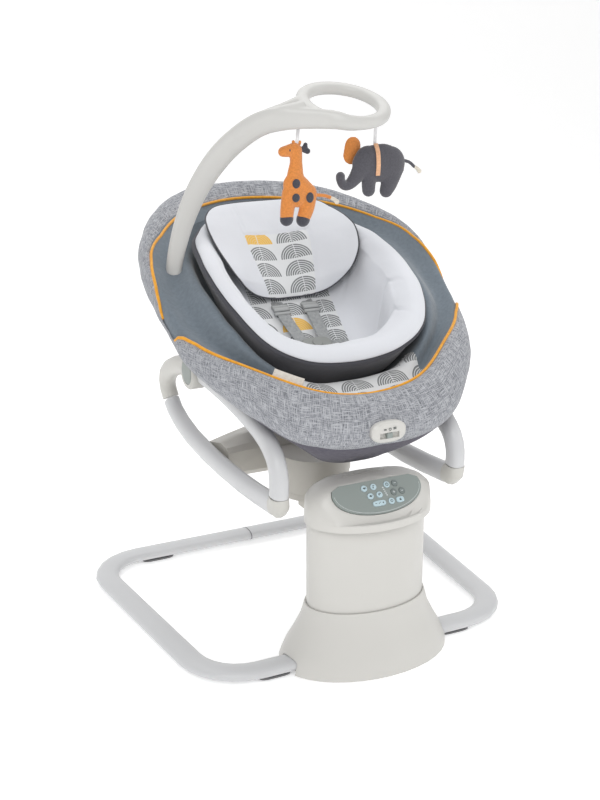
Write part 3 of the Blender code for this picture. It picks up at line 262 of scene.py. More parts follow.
def between(tree, value, low, high, out_low, out_high):
    """The value carried from one range to another and held at its ends."""
    made = node(tree, "ShaderNodeMapRange", in_1=low, in_2=high, in_3=out_low, in_4=out_high)
    tree.links.new(value, made.inputs[0])
    return made.outputs[0]


def noise(tree, vector, scale, detail=2.0, roughness=0.5):
    made = node(tree, "ShaderNodeTexNoise")
    made.inputs["Scale"].default_value = scale
    made.inputs["Detail"].default_value = detail
    made.inputs["Roughness"].default_value = roughness
    tree.links.new(vector, made.inputs["Vector"])
    return made.outputs["Fac"]


def raised(tree, shader, height, strength, distance):
    """Gives the shader a bump from this height."""
    bump = node(tree, "ShaderNodeBump")
    bump.inputs["Strength"].default_value = strength
    bump.inputs["Distance"].default_value = distance
    tree.links.new(height, bump.inputs["Height"])
    tree.links.new(bump.outputs["Normal"], shader.inputs["Normal"])


def place(tree):
    return node(tree, "ShaderNodeTexCoord").outputs["Object"]


def moulded(name, colour, rough, grain=900.0, depth=0.12, metal=0.0, mottle=0.035):
    """Moulded or coated surface: a fine grain, and colour and roughness that drift a little over the
    piece."""
    made, tree, shader = new_material(name)
    where = place(tree)
    drift = noise(tree, where, 7.0, 3.0)
    dark = tuple(c * (1 - mottle) for c in colour)
    light = tuple(min(1.0, c * (1 + mottle)) for c in colour)
    tree.links.new(shades(tree, drift, dark, light), shader.inputs["Base Color"])
    scuff = noise(tree, where, 46.0, 4.0, 0.62)
    tree.links.new(between(tree, scuff, 0.3, 0.7, rough - 0.05, rough + 0.07), shader.inputs["Roughness"])
    shader.inputs["Metallic"].default_value = metal
    raised(tree, shader, noise(tree, where, grain, 2.0), depth, 0.0003)
    return made


rise = np.linspace(0, np.pi / 2, 14)[1:]
sweep_y = np.concatenate([np.linspace(FLOOR_NEAR, FLOOR_FAR, 10), FLOOR_FAR + SWEEP_R * np.sin(rise),
                          [FLOOR_FAR + SWEEP_R]])
sweep_z = np.concatenate([np.zeros(10), SWEEP_R * (1 - np.cos(rise)), [BACKDROP_TOP]]) - FLOOR_DROP
sweep_x = np.linspace(-8, 8, 9)
sweep = np.stack(np.broadcast_arrays(sweep_x[None, :], sweep_y[:, None], sweep_z[:, None]), -1)
floor = grid_mesh("studio_floor", sweep)
floor_finish, _, floor_shader = new_material("studio_paper")
floor_shader.inputs["Base Color"].default_value = FLOOR_PALE
floor_shader.inputs["Roughness"].default_value = 0.9
floor_shader.inputs["Emission Color"].default_value = (1.0, 1.0, 1.0, 1.0)
floor_shader.inputs["Emission Strength"].default_value = FLOOR_GLOW
wear(floor, floor_finish)
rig.stage(floor)

sky = bpy.data.worlds.new("studio_sky")
sky.use_nodes = True
sky.node_tree.nodes["Background"].inputs["Color"].default_value = (1.0, 1.0, 1.0, 1.0)
sky.node_tree.nodes["Background"].inputs["Strength"].default_value = SKY_LIGHT
bpy.context.scene.world = sky
bpy.context.scene.view_settings.view_transform = "Standard"

for name, spot, size, watts in (("lamp_key", (-1.7, -2.4, 2.9), 1.8, 50.0),
                                ("lamp_fill", (2.6, -1.6, 1.9), 2.2, 19.0),
                                ("lamp_top", (0.3, 1.2, 3.2), 2.4, 30.0)):
    lamp = bpy.data.objects.new(name, bpy.data.lights.new(name, "AREA"))
    lamp.data.shape = "SQUARE"
    lamp.data.size = size
    lamp.data.energy = watts
    lamp.location = spot
    lamp.rotation_euler = (Vector(spot) - LAMPS_AIM).to_track_quat("Z", "Y").to_euler()
    bpy.context.scene.collection.objects.link(lamp)

# ------------------------------------------------------------------------------ floor loop
# Two bent steel tubes, powder coated white, butt at the rear and push into the skirt; rubber pads sit
# under them.


def dress(name, finish, crease=38.0):
    """Gives a solid part its finish, and shades it smooth between its real edges."""
    part = nodes[name]
    mesh = part.data
    mesh.polygons.foreach_set("use_smooth", np.ones(len(mesh.polygons), bool))
    weld = part.modifiers.new("weld", "WELD")
    weld.merge_threshold = 0.00002
    split = part.modifiers.new("edges", "EDGE_SPLIT")
    split.split_angle = math.radians(crease)
    wear(part, finish)
    return part


powder_coat = moulded("white_powder_coat", (0.60, 0.605, 0.615), 0.34, 420.0, 0.10)
pad_rubber = moulded("pad_rubber", (0.16, 0.16, 0.165), 0.75, 700.0, 0.25)
for name in ("floor_tube_left", "floor_tube_right"):
    dress(name, powder_coat, 50.0)
for name in ("foot_pad_front_left", "foot_pad_front_right", "foot_pad_rear_left", "foot_pad_rear_right"):
    dress(name, pad_rubber)


def fitted(piece, finish, body, slot, instead_of=None):
    """Gives a piece its finish, the body it moves with, its group of material and the node it stands
    in for."""
    wear(piece, *(finish if isinstance(finish, tuple) else (finish,)))
    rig.ride(piece, body)
    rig.slot(piece, slot)
    if instead_of:
        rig.replaces(piece, instead_of)
    return piece


# A thin shadowed gap shows where the two tubes butt at the rear.
SEAM_X, SEAM_Y, SEAM_Z = 0.008, 0.533, 0.015
SEAM_HALF_Y, SEAM_HALF_Z, SEAM_SQUARE = 0.0232, 0.01065, 0.83
turn = np.linspace(0, 2 * np.pi, 48, endpoint=False)
cos, sin = np.cos(turn), np.sin(turn)
band_x = np.array([-0.0012, 0.0012])
band = np.stack([SEAM_X + np.repeat(band_x, 48).reshape(2, 48),
                 SEAM_Y + SEAM_HALF_Y * np.sign(cos) * np.abs(cos) ** SEAM_SQUARE + 0 * band_x[:, None],
                 SEAM_Z + SEAM_HALF_Z * np.sign(sin) * np.abs(sin) ** SEAM_SQUARE + 0 * band_x[:, None]], -1)
seam_shadow = moulded("seam_shadow", (0.22, 0.22, 0.23), 0.6)
seam = grid_mesh("loop_seam", band, close_u=True)
fitted(seam, seam_shadow, "base", "dark_plastic")

# ------------------------------------------------------------------------------ tower
# Injection-moulded skirt, body shells and domed cap in satin off-white, on a flat plate, with the
# drive inside.
satin_white = moulded("satin_white_moulding", (0.61, 0.600, 0.570), 0.36, 1100.0, 0.07)
warm_white = moulded("warm_white_moulding", (0.57, 0.560, 0.525), 0.38, 1100.0, 0.07)
for name in ("skirt", "tower_front_shell", "tower_rear_shell", "tower_cap", "vibration_unit"):
    dress(name, satin_white)
dress("base_plate", warm_white)
dark_moulding = moulded("dark_moulding", (0.03, 0.03, 0.033), 0.5)
for name in ("power_inlet", "speaker", "drive_motor"):
    dress(name, dark_moulding)
bare_steel = moulded("turned_steel", (0.50, 0.51, 0.53), 0.32, 260.0, 0.08, metal=1.0)
for name in ("pivot_bracket", "pivot_shaft", "seat_frame"):
    dress(name, bare_steel)
bronze = moulded("sintered_bronze", (0.62, 0.44, 0.20), 0.45, 1500.0, 0.2, metal=1.0)
for name in ("bearing_upper", "bearing_lower"):
    dress(name, bronze)
gear_nylon = moulded("gear_nylon", (0.74, 0.74, 0.68), 0.42)
for name in ("sector_gear", "drive_pinion"):
    dress(name, gear_nylon, 25.0)
board_green = moulded("board_green", (0.02, 0.13, 0.05), 0.4)
dress("circuit_board", board_green)

# A dark ring of painted shadow fills the narrow gap where the body stands inside the skirt.
GROOVE_Z = (0.1085, 0.1112)
groove_r = np.array([[0.1112, 0.0702], [0.1143, 0.0733], [0.1143, 0.0733], [0.1112, 0.0702]])
groove_z = np.array([GROOVE_Z[0], GROOVE_Z[0], GROOVE_Z[1], GROOVE_Z[1]])
turn = np.linspace(0, 2 * np.pi, 96, endpoint=False)
groove = np.stack([groove_r[:, :1] * np.cos(turn), groove_r[:, 1:] * np.sin(turn),
                   groove_z[:, None] + 0 * turn], -1)
groove_ring = grid_mesh("skirt_groove", groove, close_u=True, close_v=True)
# The ring's flat dark grey is painted shadow for the gap between the body and the skirt.
groove_shadow_paint = moulded("groove_painted_shadow", (0.10, 0.10, 0.10), 0.85)
fitted(groove_ring, groove_shadow_paint, "base", "dark_plastic")

# ------------------------------------------------------------------------------ control panel
# A grey-green inlay in the cap's sloping face; pale blue keys stand through it and carry printed marks.
PANEL_TILT = math.radians(47.0)
PANEL_UP = np.array([0, math.cos(PANEL_TILT), math.sin(PANEL_TILT)])
PANEL_OUT = np.array([0, -math.sin(PANEL_TILT), math.cos(PANEL_TILT)])
PANEL_BACK = np.array([0, -0.0240, 0.3362])
KEY_TOP, KEY_INK = 0.00182, 0.00012
PANEL_TOP_FACE, PANEL_INK = 0.00042, 0.0001
panel_green = moulded("panel_grey_green", (0.27, 0.305, 0.29), 0.42, 1600.0, 0.10)
dress("control_panel", panel_green)
key_blue = moulded("key_pale_blue", (0.52, 0.66, 0.71), 0.40, 1500.0, 0.08)
key_dark = moulded("key_deep_grey", (0.19, 0.22, 0.215), 0.40, 1500.0, 0.08)
ink_dark = moulded("printed_ink_dark", (0.035, 0.05, 0.05), 0.55)
ink_pale = moulded("printed_ink_pale", (0.66, 0.70, 0.70), 0.55)


def plate_on(name, strips, centre, up, out, lift, thick, finish, body, slot):
    """Flat marks on a plane: each strip is a path of points with a half width, carried as a thin
    raised ribbon.

    Each point moves its half width to either side, square to the path; the two edges then get a top
    and a floor."""
    side = np.cross(up, out)
    points, faces = [], []
    for path, half, closed in strips:
        path = np.asarray(path, float)
        ahead = np.roll(path, -1, 0) - np.roll(path, 1, 0) if closed else np.gradient(path, axis=0)
        ahead /= np.linalg.norm(ahead, axis=1)[:, None] + 1e-12
        square = np.stack([-ahead[:, 1], ahead[:, 0]], -1) * half
        section = np.stack([path + square, path - square, path - square, path + square], 1)
        level = np.array([lift + thick, lift + thick, lift, lift])
        world = centre + section[..., :1] * side + section[..., 1:] * up + level[None, :, None] * out
        count, start = len(path), len(points)
        points += world.reshape(-1, 3).tolist()
        index = start + np.arange(count * 4).reshape(count, 4)
        if closed:
            index = np.concatenate([index, index[:1]])
        ring = np.concatenate([index, index[:, :1]], 1)
        faces += ring_quads(ring).tolist()
        if not closed:
            faces += [index[0].tolist(), index[-1][::-1].tolist()]
    mesh = bpy.data.meshes.new(name)
    mesh.from_pydata(points, [], faces)
    made = bpy.data.objects.new(name, mesh)
    bpy.context.scene.collection.objects.link(made)
    return fitted(made, finish, body, slot)


def arc(x, y, r, start=0.0, end=360.0, count=22):
    t = np.radians(np.linspace(start, end, count))
    return np.stack([x + r * np.cos(t), y + r * np.sin(t)], -1)


THIN = 0.00042
WIDE = 0.0008


def stroke(path, half=THIN, closed=False):
    """One printed mark: its path, half its width, and whether it runs round."""
    return path, half, closed


full_ring = arc(0, 0, 0.0026)[:-1]
note = [stroke([(-0.0008, -0.0018), (-0.0008, 0.0026)]), stroke([(-0.0008, 0.0026), (0.0020, 0.0018)]),
        stroke(arc(-0.0015, -0.0018, 0.0007)[:-1], closed=True)]
horn = [stroke([(-0.0024, 0.0), (-0.0010, 0.0)], WIDE), stroke([(-0.0010, 0.0), (0.0010, 0.0)], 0.0017),
        stroke(arc(0.0004, 0, 0.0026, -40, 40, 9))]
key_marks = {
    "key_sound": (-0.0235, 0.0125, horn),
    "key_music": (-0.0055, 0.0125, note),
    "key_mute": (-0.0165, 0.0280, horn[:2] + [stroke([(0.0014, -0.0014), (0.0030, 0.0014)])]),
    "key_nature": (0.0010, 0.0280, [stroke(arc(0, 0, 0.0022, 20, 200, 12)),
                                    stroke([(-0.002, -0.0016), (0.002, 0.0022)])]),
    "key_volume": (-0.0045, 0.0430, [stroke([(-0.0085, 0), (-0.0055, 0)]),
                                     stroke([(0.0055, 0), (0.0085, 0)]),
                                     stroke([(0.0070, -0.0015), (0.0070, 0.0015)]),
                                     stroke([(-0.0022, -0.0012), (0.0022, 0.0014)])]),
    "key_timer": (0.0205, 0.0125, [stroke(full_ring, closed=True), stroke([(0, 0.0017), (0, 0)]),
                                   stroke([(0, 0), (0.0012, 0)])]),
    "key_swing_slow": (0.0360, 0.0125, [stroke([(-0.0022, 0), (0.0022, 0)])]),
    "key_swing_fast": (0.0290, 0.0280, [stroke([(-0.0022, 0), (0.0022, 0)]),
                                        stroke([(0, -0.0022), (0, 0.0022)])]),
    "key_swing_mode": (0.0450, 0.0280, [stroke([(-0.0022, 0.0008), (0.0, -0.0012), (0.0022, 0.0008)])]),
    "key_power": (0.0190, 0.0430, [stroke(arc(0, 0, 0.0022, 125, 415, 18)),
                                   stroke([(0, 0.0008), (0, 0.0030)])]),
    "key_lock": (0.0360, 0.0430, [stroke([(-0.0016, -0.0008), (0.0016, -0.0008)], 0.0011),
                                  stroke(arc(0, 0.0004, 0.0012, 0, 180, 9))]),
}
deep_keys = ("key_swing_slow", "key_swing_fast", "key_swing_mode")
for name, (u, v, marks) in key_marks.items():
    dress(name, key_dark if name in deep_keys else key_blue)
    middle = PANEL_BACK + np.array([u, 0, 0]) - PANEL_UP * v
    plate_on(name.replace("key", "mark"), marks, middle, PANEL_UP, PANEL_OUT, KEY_TOP, KEY_INK,
             ink_pale if name in deep_keys else ink_dark, name + "_body", "dark_plastic")

# Printed on the panel itself: a slanted level bar between the two groups, and a thin border line.
BAR_LEFT, BAR_RIGHT, BAR_TOP, BAR_LEAN, BAR_STEP = 0.0105, 0.0128, -0.0165, 0.0008, 0.0036
bar_marks = [stroke([(x + BAR_LEAN * k, BAR_TOP - BAR_STEP * k) for x in (BAR_LEFT, BAR_RIGHT)], 0.0011)
             for k in range(5)]
plate_on("level_bar", bar_marks, PANEL_BACK, PANEL_UP, PANEL_OUT, PANEL_TOP_FACE, PANEL_INK, ink_pale,
         "base", "key_blue")
border_t = np.linspace(0.04, np.pi - 0.04, 40)
border_path = np.stack([0.0825 * np.cos(border_t), -0.062 * (0.25 + 0.70 * np.sin(border_t) ** 0.9)], -1)
plate_on("panel_border", [stroke(border_path, 0.0003)], PANEL_BACK, PANEL_UP, PANEL_OUT, PANEL_TOP_FACE,
         PANEL_INK, ink_pale,
         "base", "key_blue")

# ------------------------------------------------------------------------------ arm and dock
# Two warm grey mouldings close round the steel shaft and widen into the round dock with its push latch.
warm_grey = moulded("warm_grey_moulding", (0.52, 0.500, 0.455), 0.40, 1000.0, 0.08)
for name in ("arm_upper_shell", "arm_lower_shell", "cross_housing"):
    dress(name, warm_grey)
dress("dock_latch", panel_green)

# ------------------------------------------------------------------------------ rocker
# Powder-coated rails and uprights are plugged into moulded feet and hubs; round buttons free the recline.
for name in ("rail_left", "rail_right", "upright_left", "upright_right"):
    dress(name, powder_coat, 55.0)
for name in ("rocker_foot_left", "rocker_foot_right", "hub_left", "hub_right"):
    dress(name, warm_white, 50.0)
button_green = moulded("button_grey_green", (0.27, 0.30, 0.28), 0.36, 1400.0, 0.08)
for name in ("recline_button_left", "recline_button_right"):
    dress(name, button_green)

# ------------------------------------------------------------------------------ seat cover
# A sewn cover stretched over the seat's tube ring: heather band outside, slate knit inside, dark cloth
# beneath.
# Section points run from the nose (first) round the right side to the head (last), one row for each
# turn of the cover.
CREST = ((0, -0.026, 0.489), (0.105, -0.012, 0.503), (0.198, 0.064, 0.537), (0.256, 0.132, 0.567),
         (0.276, 0.210, 0.613), (0.276, 0.312, 0.682), (0.240, 0.395, 0.722), (0.148, 0.496, 0.758),
         (0, 0.556, 0.769))
HEM = ((0, 0.010, 0.472), (0.088, 0.020, 0.480), (0.166, 0.084, 0.510), (0.220, 0.144, 0.540),
       (0.242, 0.205, 0.582), (0.252, 0.298, 0.652), (0.212, 0.368, 0.692), (0.130, 0.450, 0.718),
       (0, 0.510, 0.726))
GIRTH = ((0, -0.062, 0.440), (0.125, -0.046, 0.450), (0.216, 0.028, 0.498), (0.270, 0.116, 0.532),
         (0.282, 0.205, 0.580), (0.279, 0.312, 0.636), (0.247, 0.406, 0.680), (0.156, 0.520, 0.724),
         (0, 0.583, 0.737))
LOWER = ((0, -0.044, 0.402), (0.118, -0.030, 0.412), (0.190, 0.020, 0.452), (0.236, 0.125, 0.502),
         (0.234, 0.205, 0.524), (0.208, 0.302, 0.576), (0.186, 0.380, 0.614), (0.120, 0.472, 0.658),
         (0, 0.530, 0.672))
UNDER = ((0, 0.010, 0.366), (0.084, 0.024, 0.374), (0.142, 0.080, 0.452), (0.160, 0.135, 0.493),
         (0.158, 0.200, 0.502), (0.140, 0.285, 0.536), (0.110, 0.340, 0.566), (0.066, 0.402, 0.594),
         (0, 0.440, 0.604))
BOTTOM = ((0, 0.070, 0.350), (0.045, 0.080, 0.353), (0.090, 0.105, 0.376), (0.102, 0.140, 0.424),
          (0.088, 0.190, 0.440), (0.070, 0.240, 0.464), (0.054, 0.280, 0.486), (0.034, 0.325, 0.514),
          (0, 0.345, 0.524))
LINING_RIM = ((0, 0.010, 0.472), (0.088, 0.020, 0.480), (0.172, 0.082, 0.520), (0.226, 0.142, 0.564),
              (0.244, 0.207, 0.606), (0.241, 0.300, 0.660), (0.208, 0.369, 0.695), (0.130, 0.450, 0.718),
              (0, 0.510, 0.726))
LINING_SIDE = ((0, 0.066, 0.489), (0.084, 0.062, 0.500), (0.152, 0.084, 0.538), (0.188, 0.134, 0.586),
               (0.199, 0.208, 0.626), (0.193, 0.300, 0.657), (0.171, 0.374, 0.678), (0.113, 0.448, 0.704),
               (0, 0.490, 0.712))
LINING_LOW = ((0, 0.120, 0.456), (0.050, 0.125, 0.458), (0.095, 0.145, 0.466), (0.130, 0.180, 0.486),
              (0.150, 0.220, 0.508), (0.150, 0.290, 0.558), (0.130, 0.350, 0.600), (0.080, 0.415, 0.640),
              (0, 0.445, 0.652))


def stations(half):
    """The right half's points, then the same ones mirrored back to the nose: sixteen round the rim."""
    right = np.asarray(half, float)
    return np.concatenate([right, (right[1:-1] * (-1, 1, 1))[::-1]])


def pole(point):
    return np.repeat(np.asarray(point, float)[None], 16, 0)


def blend_weights(t):
    """The four weights of a curve that passes through its points, at share t between the middle two."""
    return 0.5 * np.stack([-t ** 3 + 2 * t ** 2 - t, 3 * t ** 3 - 5 * t ** 2 + 2,
                           -3 * t ** 3 + 4 * t ** 2 + t, t ** 3 - t ** 2], -1)


def on_rows(table, u, v):
    """A point of the smooth surface through a table of rows: u counts stations round, v counts rows
    across."""
    u, v = np.broadcast_arrays(np.asarray(u, float), np.asarray(v, float))
    rows = len(table)
    iu = np.floor(u).astype(int)
    iv = np.clip(np.floor(v).astype(int), 0, rows - 2)
    wu, wv = blend_weights(u - iu), blend_weights(v - iv)
    ku = (iu[..., None] + np.array([-1, 0, 1, 2])) % 16
    kv = np.clip(iv[..., None] + np.array([-1, 0, 1, 2]), 0, rows - 1)
    near = table[kv[..., :, None], ku[..., None, :]]
    return np.einsum("...a,...b,...abc->...c", wv, wu, near)


def out_of(table, u, v, sign=1.0):
    """The surface's unit normal by small steps in u and v."""
    e = 0.01
    du = on_rows(table, u + e, v) - on_rows(table, u - e, v)
    dv = on_rows(table, u, v + e) - on_rows(table, u, v - e)
    n = np.cross(du, dv) * sign
    return n / (np.linalg.norm(n, axis=-1)[..., None] + 1e-12)


cover_table = np.array([stations(HEM), stations(CREST), stations(GIRTH), stations(LOWER), stations(UNDER),
                        stations(BOTTOM), pole((0, 0.190, 0.424))])
probe = out_of(cover_table, np.array([4.0]), np.array([2.0]))[0]
COVER_OUT = 1.0 if probe[0] > 0 else -1.0
FRONT_END, HEAD_END = 3.56, 4.13  # stations where the front and the head piping end on the rim
COVER_THICK, PIPING_R = 0.0016, 0.0029


def round_the_rim(u):
    """Stations counted from the nose to the head on either side, 0 to 8."""
    u = np.mod(u, 16.0)
    return np.minimum(u, 16.0 - u)


def top_edge(u):
    """Row where the heather band starts: on the inner slope at nose and head, down over the rim at the
    sides."""
    k = round_the_rim(u)
    return np.interp(k, (0, 1, 2, 3, 3.3, 3.45, FRONT_END, 3.62, 4.07, HEAD_END, 4.22, 4.45, 5, 6, 7, 8),
                     (0.55, 0.68, 0.86, 1.02, 1.22, 1.42, 1.72, 1.80, 1.80, 1.66, 1.35, 1.02, 0.68, 0.45,
                      0.38, 0.35))


def low_edge(u):
    """Row where the heather band ends: a scalloped hem under the turn of the cover."""
    k = round_the_rim(u)
    return np.interp(k, (0, 1, 2, 3, 4, 8),
                     (2.78, 2.74, 2.66, 2.80, 2.92, 2.90)) + 0.11 * np.abs(np.sin(k * 3.3))


def ruffle(points, normal, size):
    """Cloth that isn't quite smooth: a few slow waves of this size along the normal."""
    x, y, z = points[..., 0], points[..., 1], points[..., 2]
    wave = (np.sin(31 * x + 17 * z + 1.3) * np.sin(23 * y - 19 * z + 0.4)
            + 0.6 * np.sin(57 * y + 41 * x + 2.1) * np.sin(47 * z - 35 * x)
            + 0.35 * np.sin(96 * z + 83 * y + 0.7) * np.sin(88 * x + 1.9))
    return points + normal * (size * wave)[..., None]


def run_length(grid, axis):
    """Distance along rows or columns of a grid, in metres, starting from 0."""
    steps = np.linalg.norm(np.diff(grid, axis=axis), axis=-1)
    first = np.zeros_like(np.take(steps, [0], axis=axis))
    return np.concatenate([first, np.cumsum(steps, axis=axis)], axis=axis)


def cloth_uv(grid):
    """Metres along each way of the cloth; across, the middle row stands for all, so the weave stays
    straight."""
    rows = grid.shape[0]
    along = np.broadcast_to(run_length(grid, 1)[rows // 2], grid.shape[:2])
    across = np.broadcast_to(run_length(grid, 0).mean(1)[:, None], grid.shape[:2])
    return np.stack([along, across], -1)


def cloth_area(grid):
    """Surface area of a grid of points."""
    a = grid[1:, 1:] - grid[:-1, :-1]
    b = grid[1:, :-1] - grid[:-1, 1:]
    return float(0.5 * np.linalg.norm(np.cross(a, b), axis=-1).sum())


def flat_size(grid):
    """Width and length that a band of cloth is cut to: its longest row and its mean column."""
    return float(run_length(grid, 1)[:, -1].max()), float(run_length(grid, 0)[-1].mean())


def round_cut(grid):
    """Width and length of the flat piece that a dish of cloth is cut from, over its middle from edge
    to edge."""
    down = run_length(grid, 0)[-1, :-1]
    over = down[:len(down) // 2] + down[len(down) // 2:2 * (len(down) // 2)]
    return float(over.min()), float(over.max())


def backed(piece, thick):
    """Gives a sheet its thickness, inward from the outer face."""
    solid = piece.modifiers.new("thickness", "SOLIDIFY")
    solid.thickness = thick
    solid.offset = -1.0
    return piece


def cloth_base(name, dark, light, factor_of, rough=0.9, sheen=0.25, weave=2600.0, depth=0.35,
               distance=0.0004):
    """A woven or knitted finish: colour from a factor in cloth coordinates, a fine thread bump, and
    soft sheen."""
    made, tree, shader = new_material(name)
    cloth = node(tree, "ShaderNodeUVMap", uv_map="cloth").outputs["UV"]
    factor = factor_of(tree, cloth)
    tree.links.new(shades(tree, factor, dark, light), shader.inputs["Base Color"])
    shader.inputs["Roughness"].default_value = rough
    shader.inputs["Sheen Weight"].default_value = sheen
    shader.inputs["Sheen Roughness"].default_value = 0.5
    split = node(tree, "ShaderNodeSeparateXYZ", [(0, cloth)])
    warp = node(tree, "ShaderNodeMath", operation="SINE")
    weft = node(tree, "ShaderNodeMath", operation="SINE")
    tree.links.new(times(tree, split.outputs[0], weave), warp.inputs[0])
    tree.links.new(times(tree, split.outputs[1], weave), weft.inputs[0])
    threads = node(tree, "ShaderNodeMath", [(0, warp.outputs[0]), (1, weft.outputs[0])],
                   operation="MULTIPLY")
    fluff = noise(tree, place(tree), 420.0, 4.0, 0.6)
    height = node(tree, "ShaderNodeMath", [(0, fluff), (1, times(tree, threads.outputs[0], 0.35))],
                  operation="ADD")
    raised(tree, shader, height.outputs[0], depth, distance)
    return made


def maths(tree, operation, a, b=None):
    made = node(tree, "ShaderNodeMath", operation=operation)
    for place_in, value in ((0, a), (1, b)):
        if value is None:
            continue
        if isinstance(value, (int, float)):
            made.inputs[place_in].default_value = value
        else:
            tree.links.new(value, made.inputs[place_in])
    return made.outputs[0]


def times(tree, value, by):
    made = node(tree, "ShaderNodeMath", [(0, value)], operation="MULTIPLY")
    made.inputs[1].default_value = by
    return made.outputs[0]


def stretched_noise(tree, cloth, across, along, low, high, seed=0.0):
    """Streaks: noise stretched one way, kept only where it peaks."""
    shift = node(tree, "ShaderNodeMapping", [(0, cloth)])
    shift.inputs["Scale"].default_value = (across, along, 1.0)
    shift.inputs["Location"].default_value = (seed, seed * 0.7, 0.0)
    return between(tree, noise(tree, shift.outputs[0], 1.0, 2.0), low, high, 0.0, 1.0)


def slub_threads(tree, cloth):
    """Light slub threads both ways over a darker ground, with a fine criss-cross of plain threads
    between."""
    do = partial(maths, tree)
    up = stretched_noise(tree, cloth, 1000.0, 55.0, 0.48, 0.60)
    cross = stretched_noise(tree, cloth, 55.0, 1000.0, 0.48, 0.60, 3.0)
    fine_up = stretched_noise(tree, cloth, 1700.0, 240.0, 0.35, 0.70, 7.0)
    fine_cross = stretched_noise(tree, cloth, 240.0, 1700.0, 0.35, 0.70, 11.0)
    slubs = do("MAXIMUM", up, cross)
    fine = do("MULTIPLY", do("ADD", fine_up, fine_cross), 0.5)
    return do("ADD", do("MULTIPLY", slubs, 0.62), do("MULTIPLY", fine, 0.38))


def even_knit(tree, cloth):
    """A knit of one shade with faint mottling."""
    return stretched_noise(tree, cloth, 160.0, 160.0, 0.3, 0.7)


heather = cloth_base("heather_weave", (0.090, 0.097, 0.116), (0.56, 0.57, 0.60), slub_threads, 0.92, 0.15)
slate = cloth_base("slate_knit", (0.135, 0.165, 0.195), (0.165, 0.198, 0.230), even_knit, 0.86, 0.25,
                   3400.0, 0.25)
under_cloth = cloth_base("under_cloth", (0.080, 0.075, 0.100), (0.115, 0.108, 0.135), even_knit, 0.95, 0.10)
piping_orange = cloth_base("piping_orange", (0.72, 0.29, 0.006), (0.86, 0.40, 0.014), even_knit, 0.6, 0.3,
                           5200.0, 0.3)

# The print: fans stand in rows, each made of arcs; a gap is left under each fan, up its middle and
# between arcs.
FAN_PITCH, FAN_ROW, FAN_REACH, ARC_PITCH = 0.0695, 0.034, 0.0305, 0.0043
FAN_FOOT, FAN_SPINE, ARC_GAP = 0.0012, 0.0006, 0.36


def along_axis(tree, where, axis, shift):
    """Distance along an axis: the dot product of the place with it, plus a shift."""
    dot = node(tree, "ShaderNodeVectorMath", [(0, where)], operation="DOT_PRODUCT")
    dot.inputs[1].default_value = axis
    made = node(tree, "ShaderNodeMath", [(0, dot.outputs["Value"])], operation="ADD")
    made.inputs[1].default_value = shift
    return made.outputs[0]


def fan_print(tree, where, up_axis, x_shift, up_shift, yellow_at):
    """Rows of half-circle fans drawn as grey arcs on white, one fan filled yellow; gives a colour.

    Each fan stands on its row's line; arcs repeat with distance from the middle of that line."""
    do = partial(maths, tree)
    across = along_axis(tree, where, (1, 0, 0), x_shift)
    up = along_axis(tree, where, up_axis, up_shift)
    column = do("DIVIDE", across, FAN_PITCH)
    line = do("DIVIDE", up, FAN_ROW)
    x = do("MULTIPLY", do("SUBTRACT", do("FRACT", column), 0.5), FAN_PITCH)
    y = do("MULTIPLY", do("FRACT", line), FAN_ROW)
    reach = do("SQRT", do("ADD", do("MULTIPLY", x, x), do("MULTIPLY", y, y)))
    inside = do("LESS_THAN", reach, FAN_REACH)
    above = do("GREATER_THAN", y, FAN_FOOT)
    beside = do("GREATER_THAN", do("ABSOLUTE", x), FAN_SPINE)
    fan = do("MULTIPLY", do("MULTIPLY", inside, above), beside)
    wave = do("FRACT", do("DIVIDE", reach, ARC_PITCH))
    arcs = do("MULTIPLY", do("GREATER_THAN", wave, ARC_GAP), fan)
    here = do("MULTIPLY",
                 do("COMPARE", do("FLOOR", column), yellow_at[0]),
                 do("COMPARE", do("FLOOR", line), yellow_at[1]))
    arcs_colour = shades(tree, arcs, (0.72, 0.73, 0.74), (0.20, 0.21, 0.215))
    yellow = node(tree, "ShaderNodeMix", [(6, arcs_colour)], data_type="RGBA", in_7=(0.78, 0.47, 0.09, 1.0))
    tree.links.new(do("MULTIPLY", here, do("MULTIPLY", fan, between(tree, wave, 0.2, ARC_GAP, 0.72, 1.0))),
                   yellow.inputs["Factor"])
    return yellow.outputs[2]


def with_patch(finish):
    """Adds a printed patch to the slate knit: it covers the front of the lining, from side to side of
    the nose."""
    tree = finish.node_tree
    do = partial(maths, tree)
    shader = tree.nodes["Principled BSDF"]
    plain = shader.inputs["Base Color"].links[0].from_socket
    where = place(tree)
    mask = do("MULTIPLY",
                 do("LESS_THAN", do("ABSOLUTE", along_axis(tree, where, (1, 0, 0), 0.0)), 0.132),
                 do("LESS_THAN", along_axis(tree, where, (0, 1, 0), 0.0), 0.105))
    picture = fan_print(tree, where, (0, 0.94, 0.34), 0.0347, -0.1600 + 8 * FAN_ROW, (90.0, 90.0))
    mix = node(tree, "ShaderNodeMix", [(6, plain), (7, picture)], data_type="RGBA")
    tree.links.new(mask, mix.inputs["Factor"])
    tree.links.new(mix.outputs[2], shader.inputs["Base Color"])


with_patch(slate)

u = np.linspace(0, 16, 321)[:-1]
share = np.linspace(0, 1, 44)[:, None]
v = top_edge(u) + (low_edge(u) - top_edge(u)) * share
swell = np.sin(np.pi * np.clip(share, 0, 1)) ** 0.6
normal = out_of(cover_table, u + 0 * v, v, COVER_OUT)
band = ruffle(on_rows(cover_table, u + 0 * v, v) + normal * (0.0022 * swell)[..., None],
              normal * swell[..., None], 0.0012)
closed_band = np.concatenate([band, band[:, :1]], 1)
seat_band = grid_mesh("seat_band", closed_band, uv=cloth_uv(closed_band))
backed(seat_band, COVER_THICK)
fitted(seat_band, heather, "seat", "heather", "seat_cover")

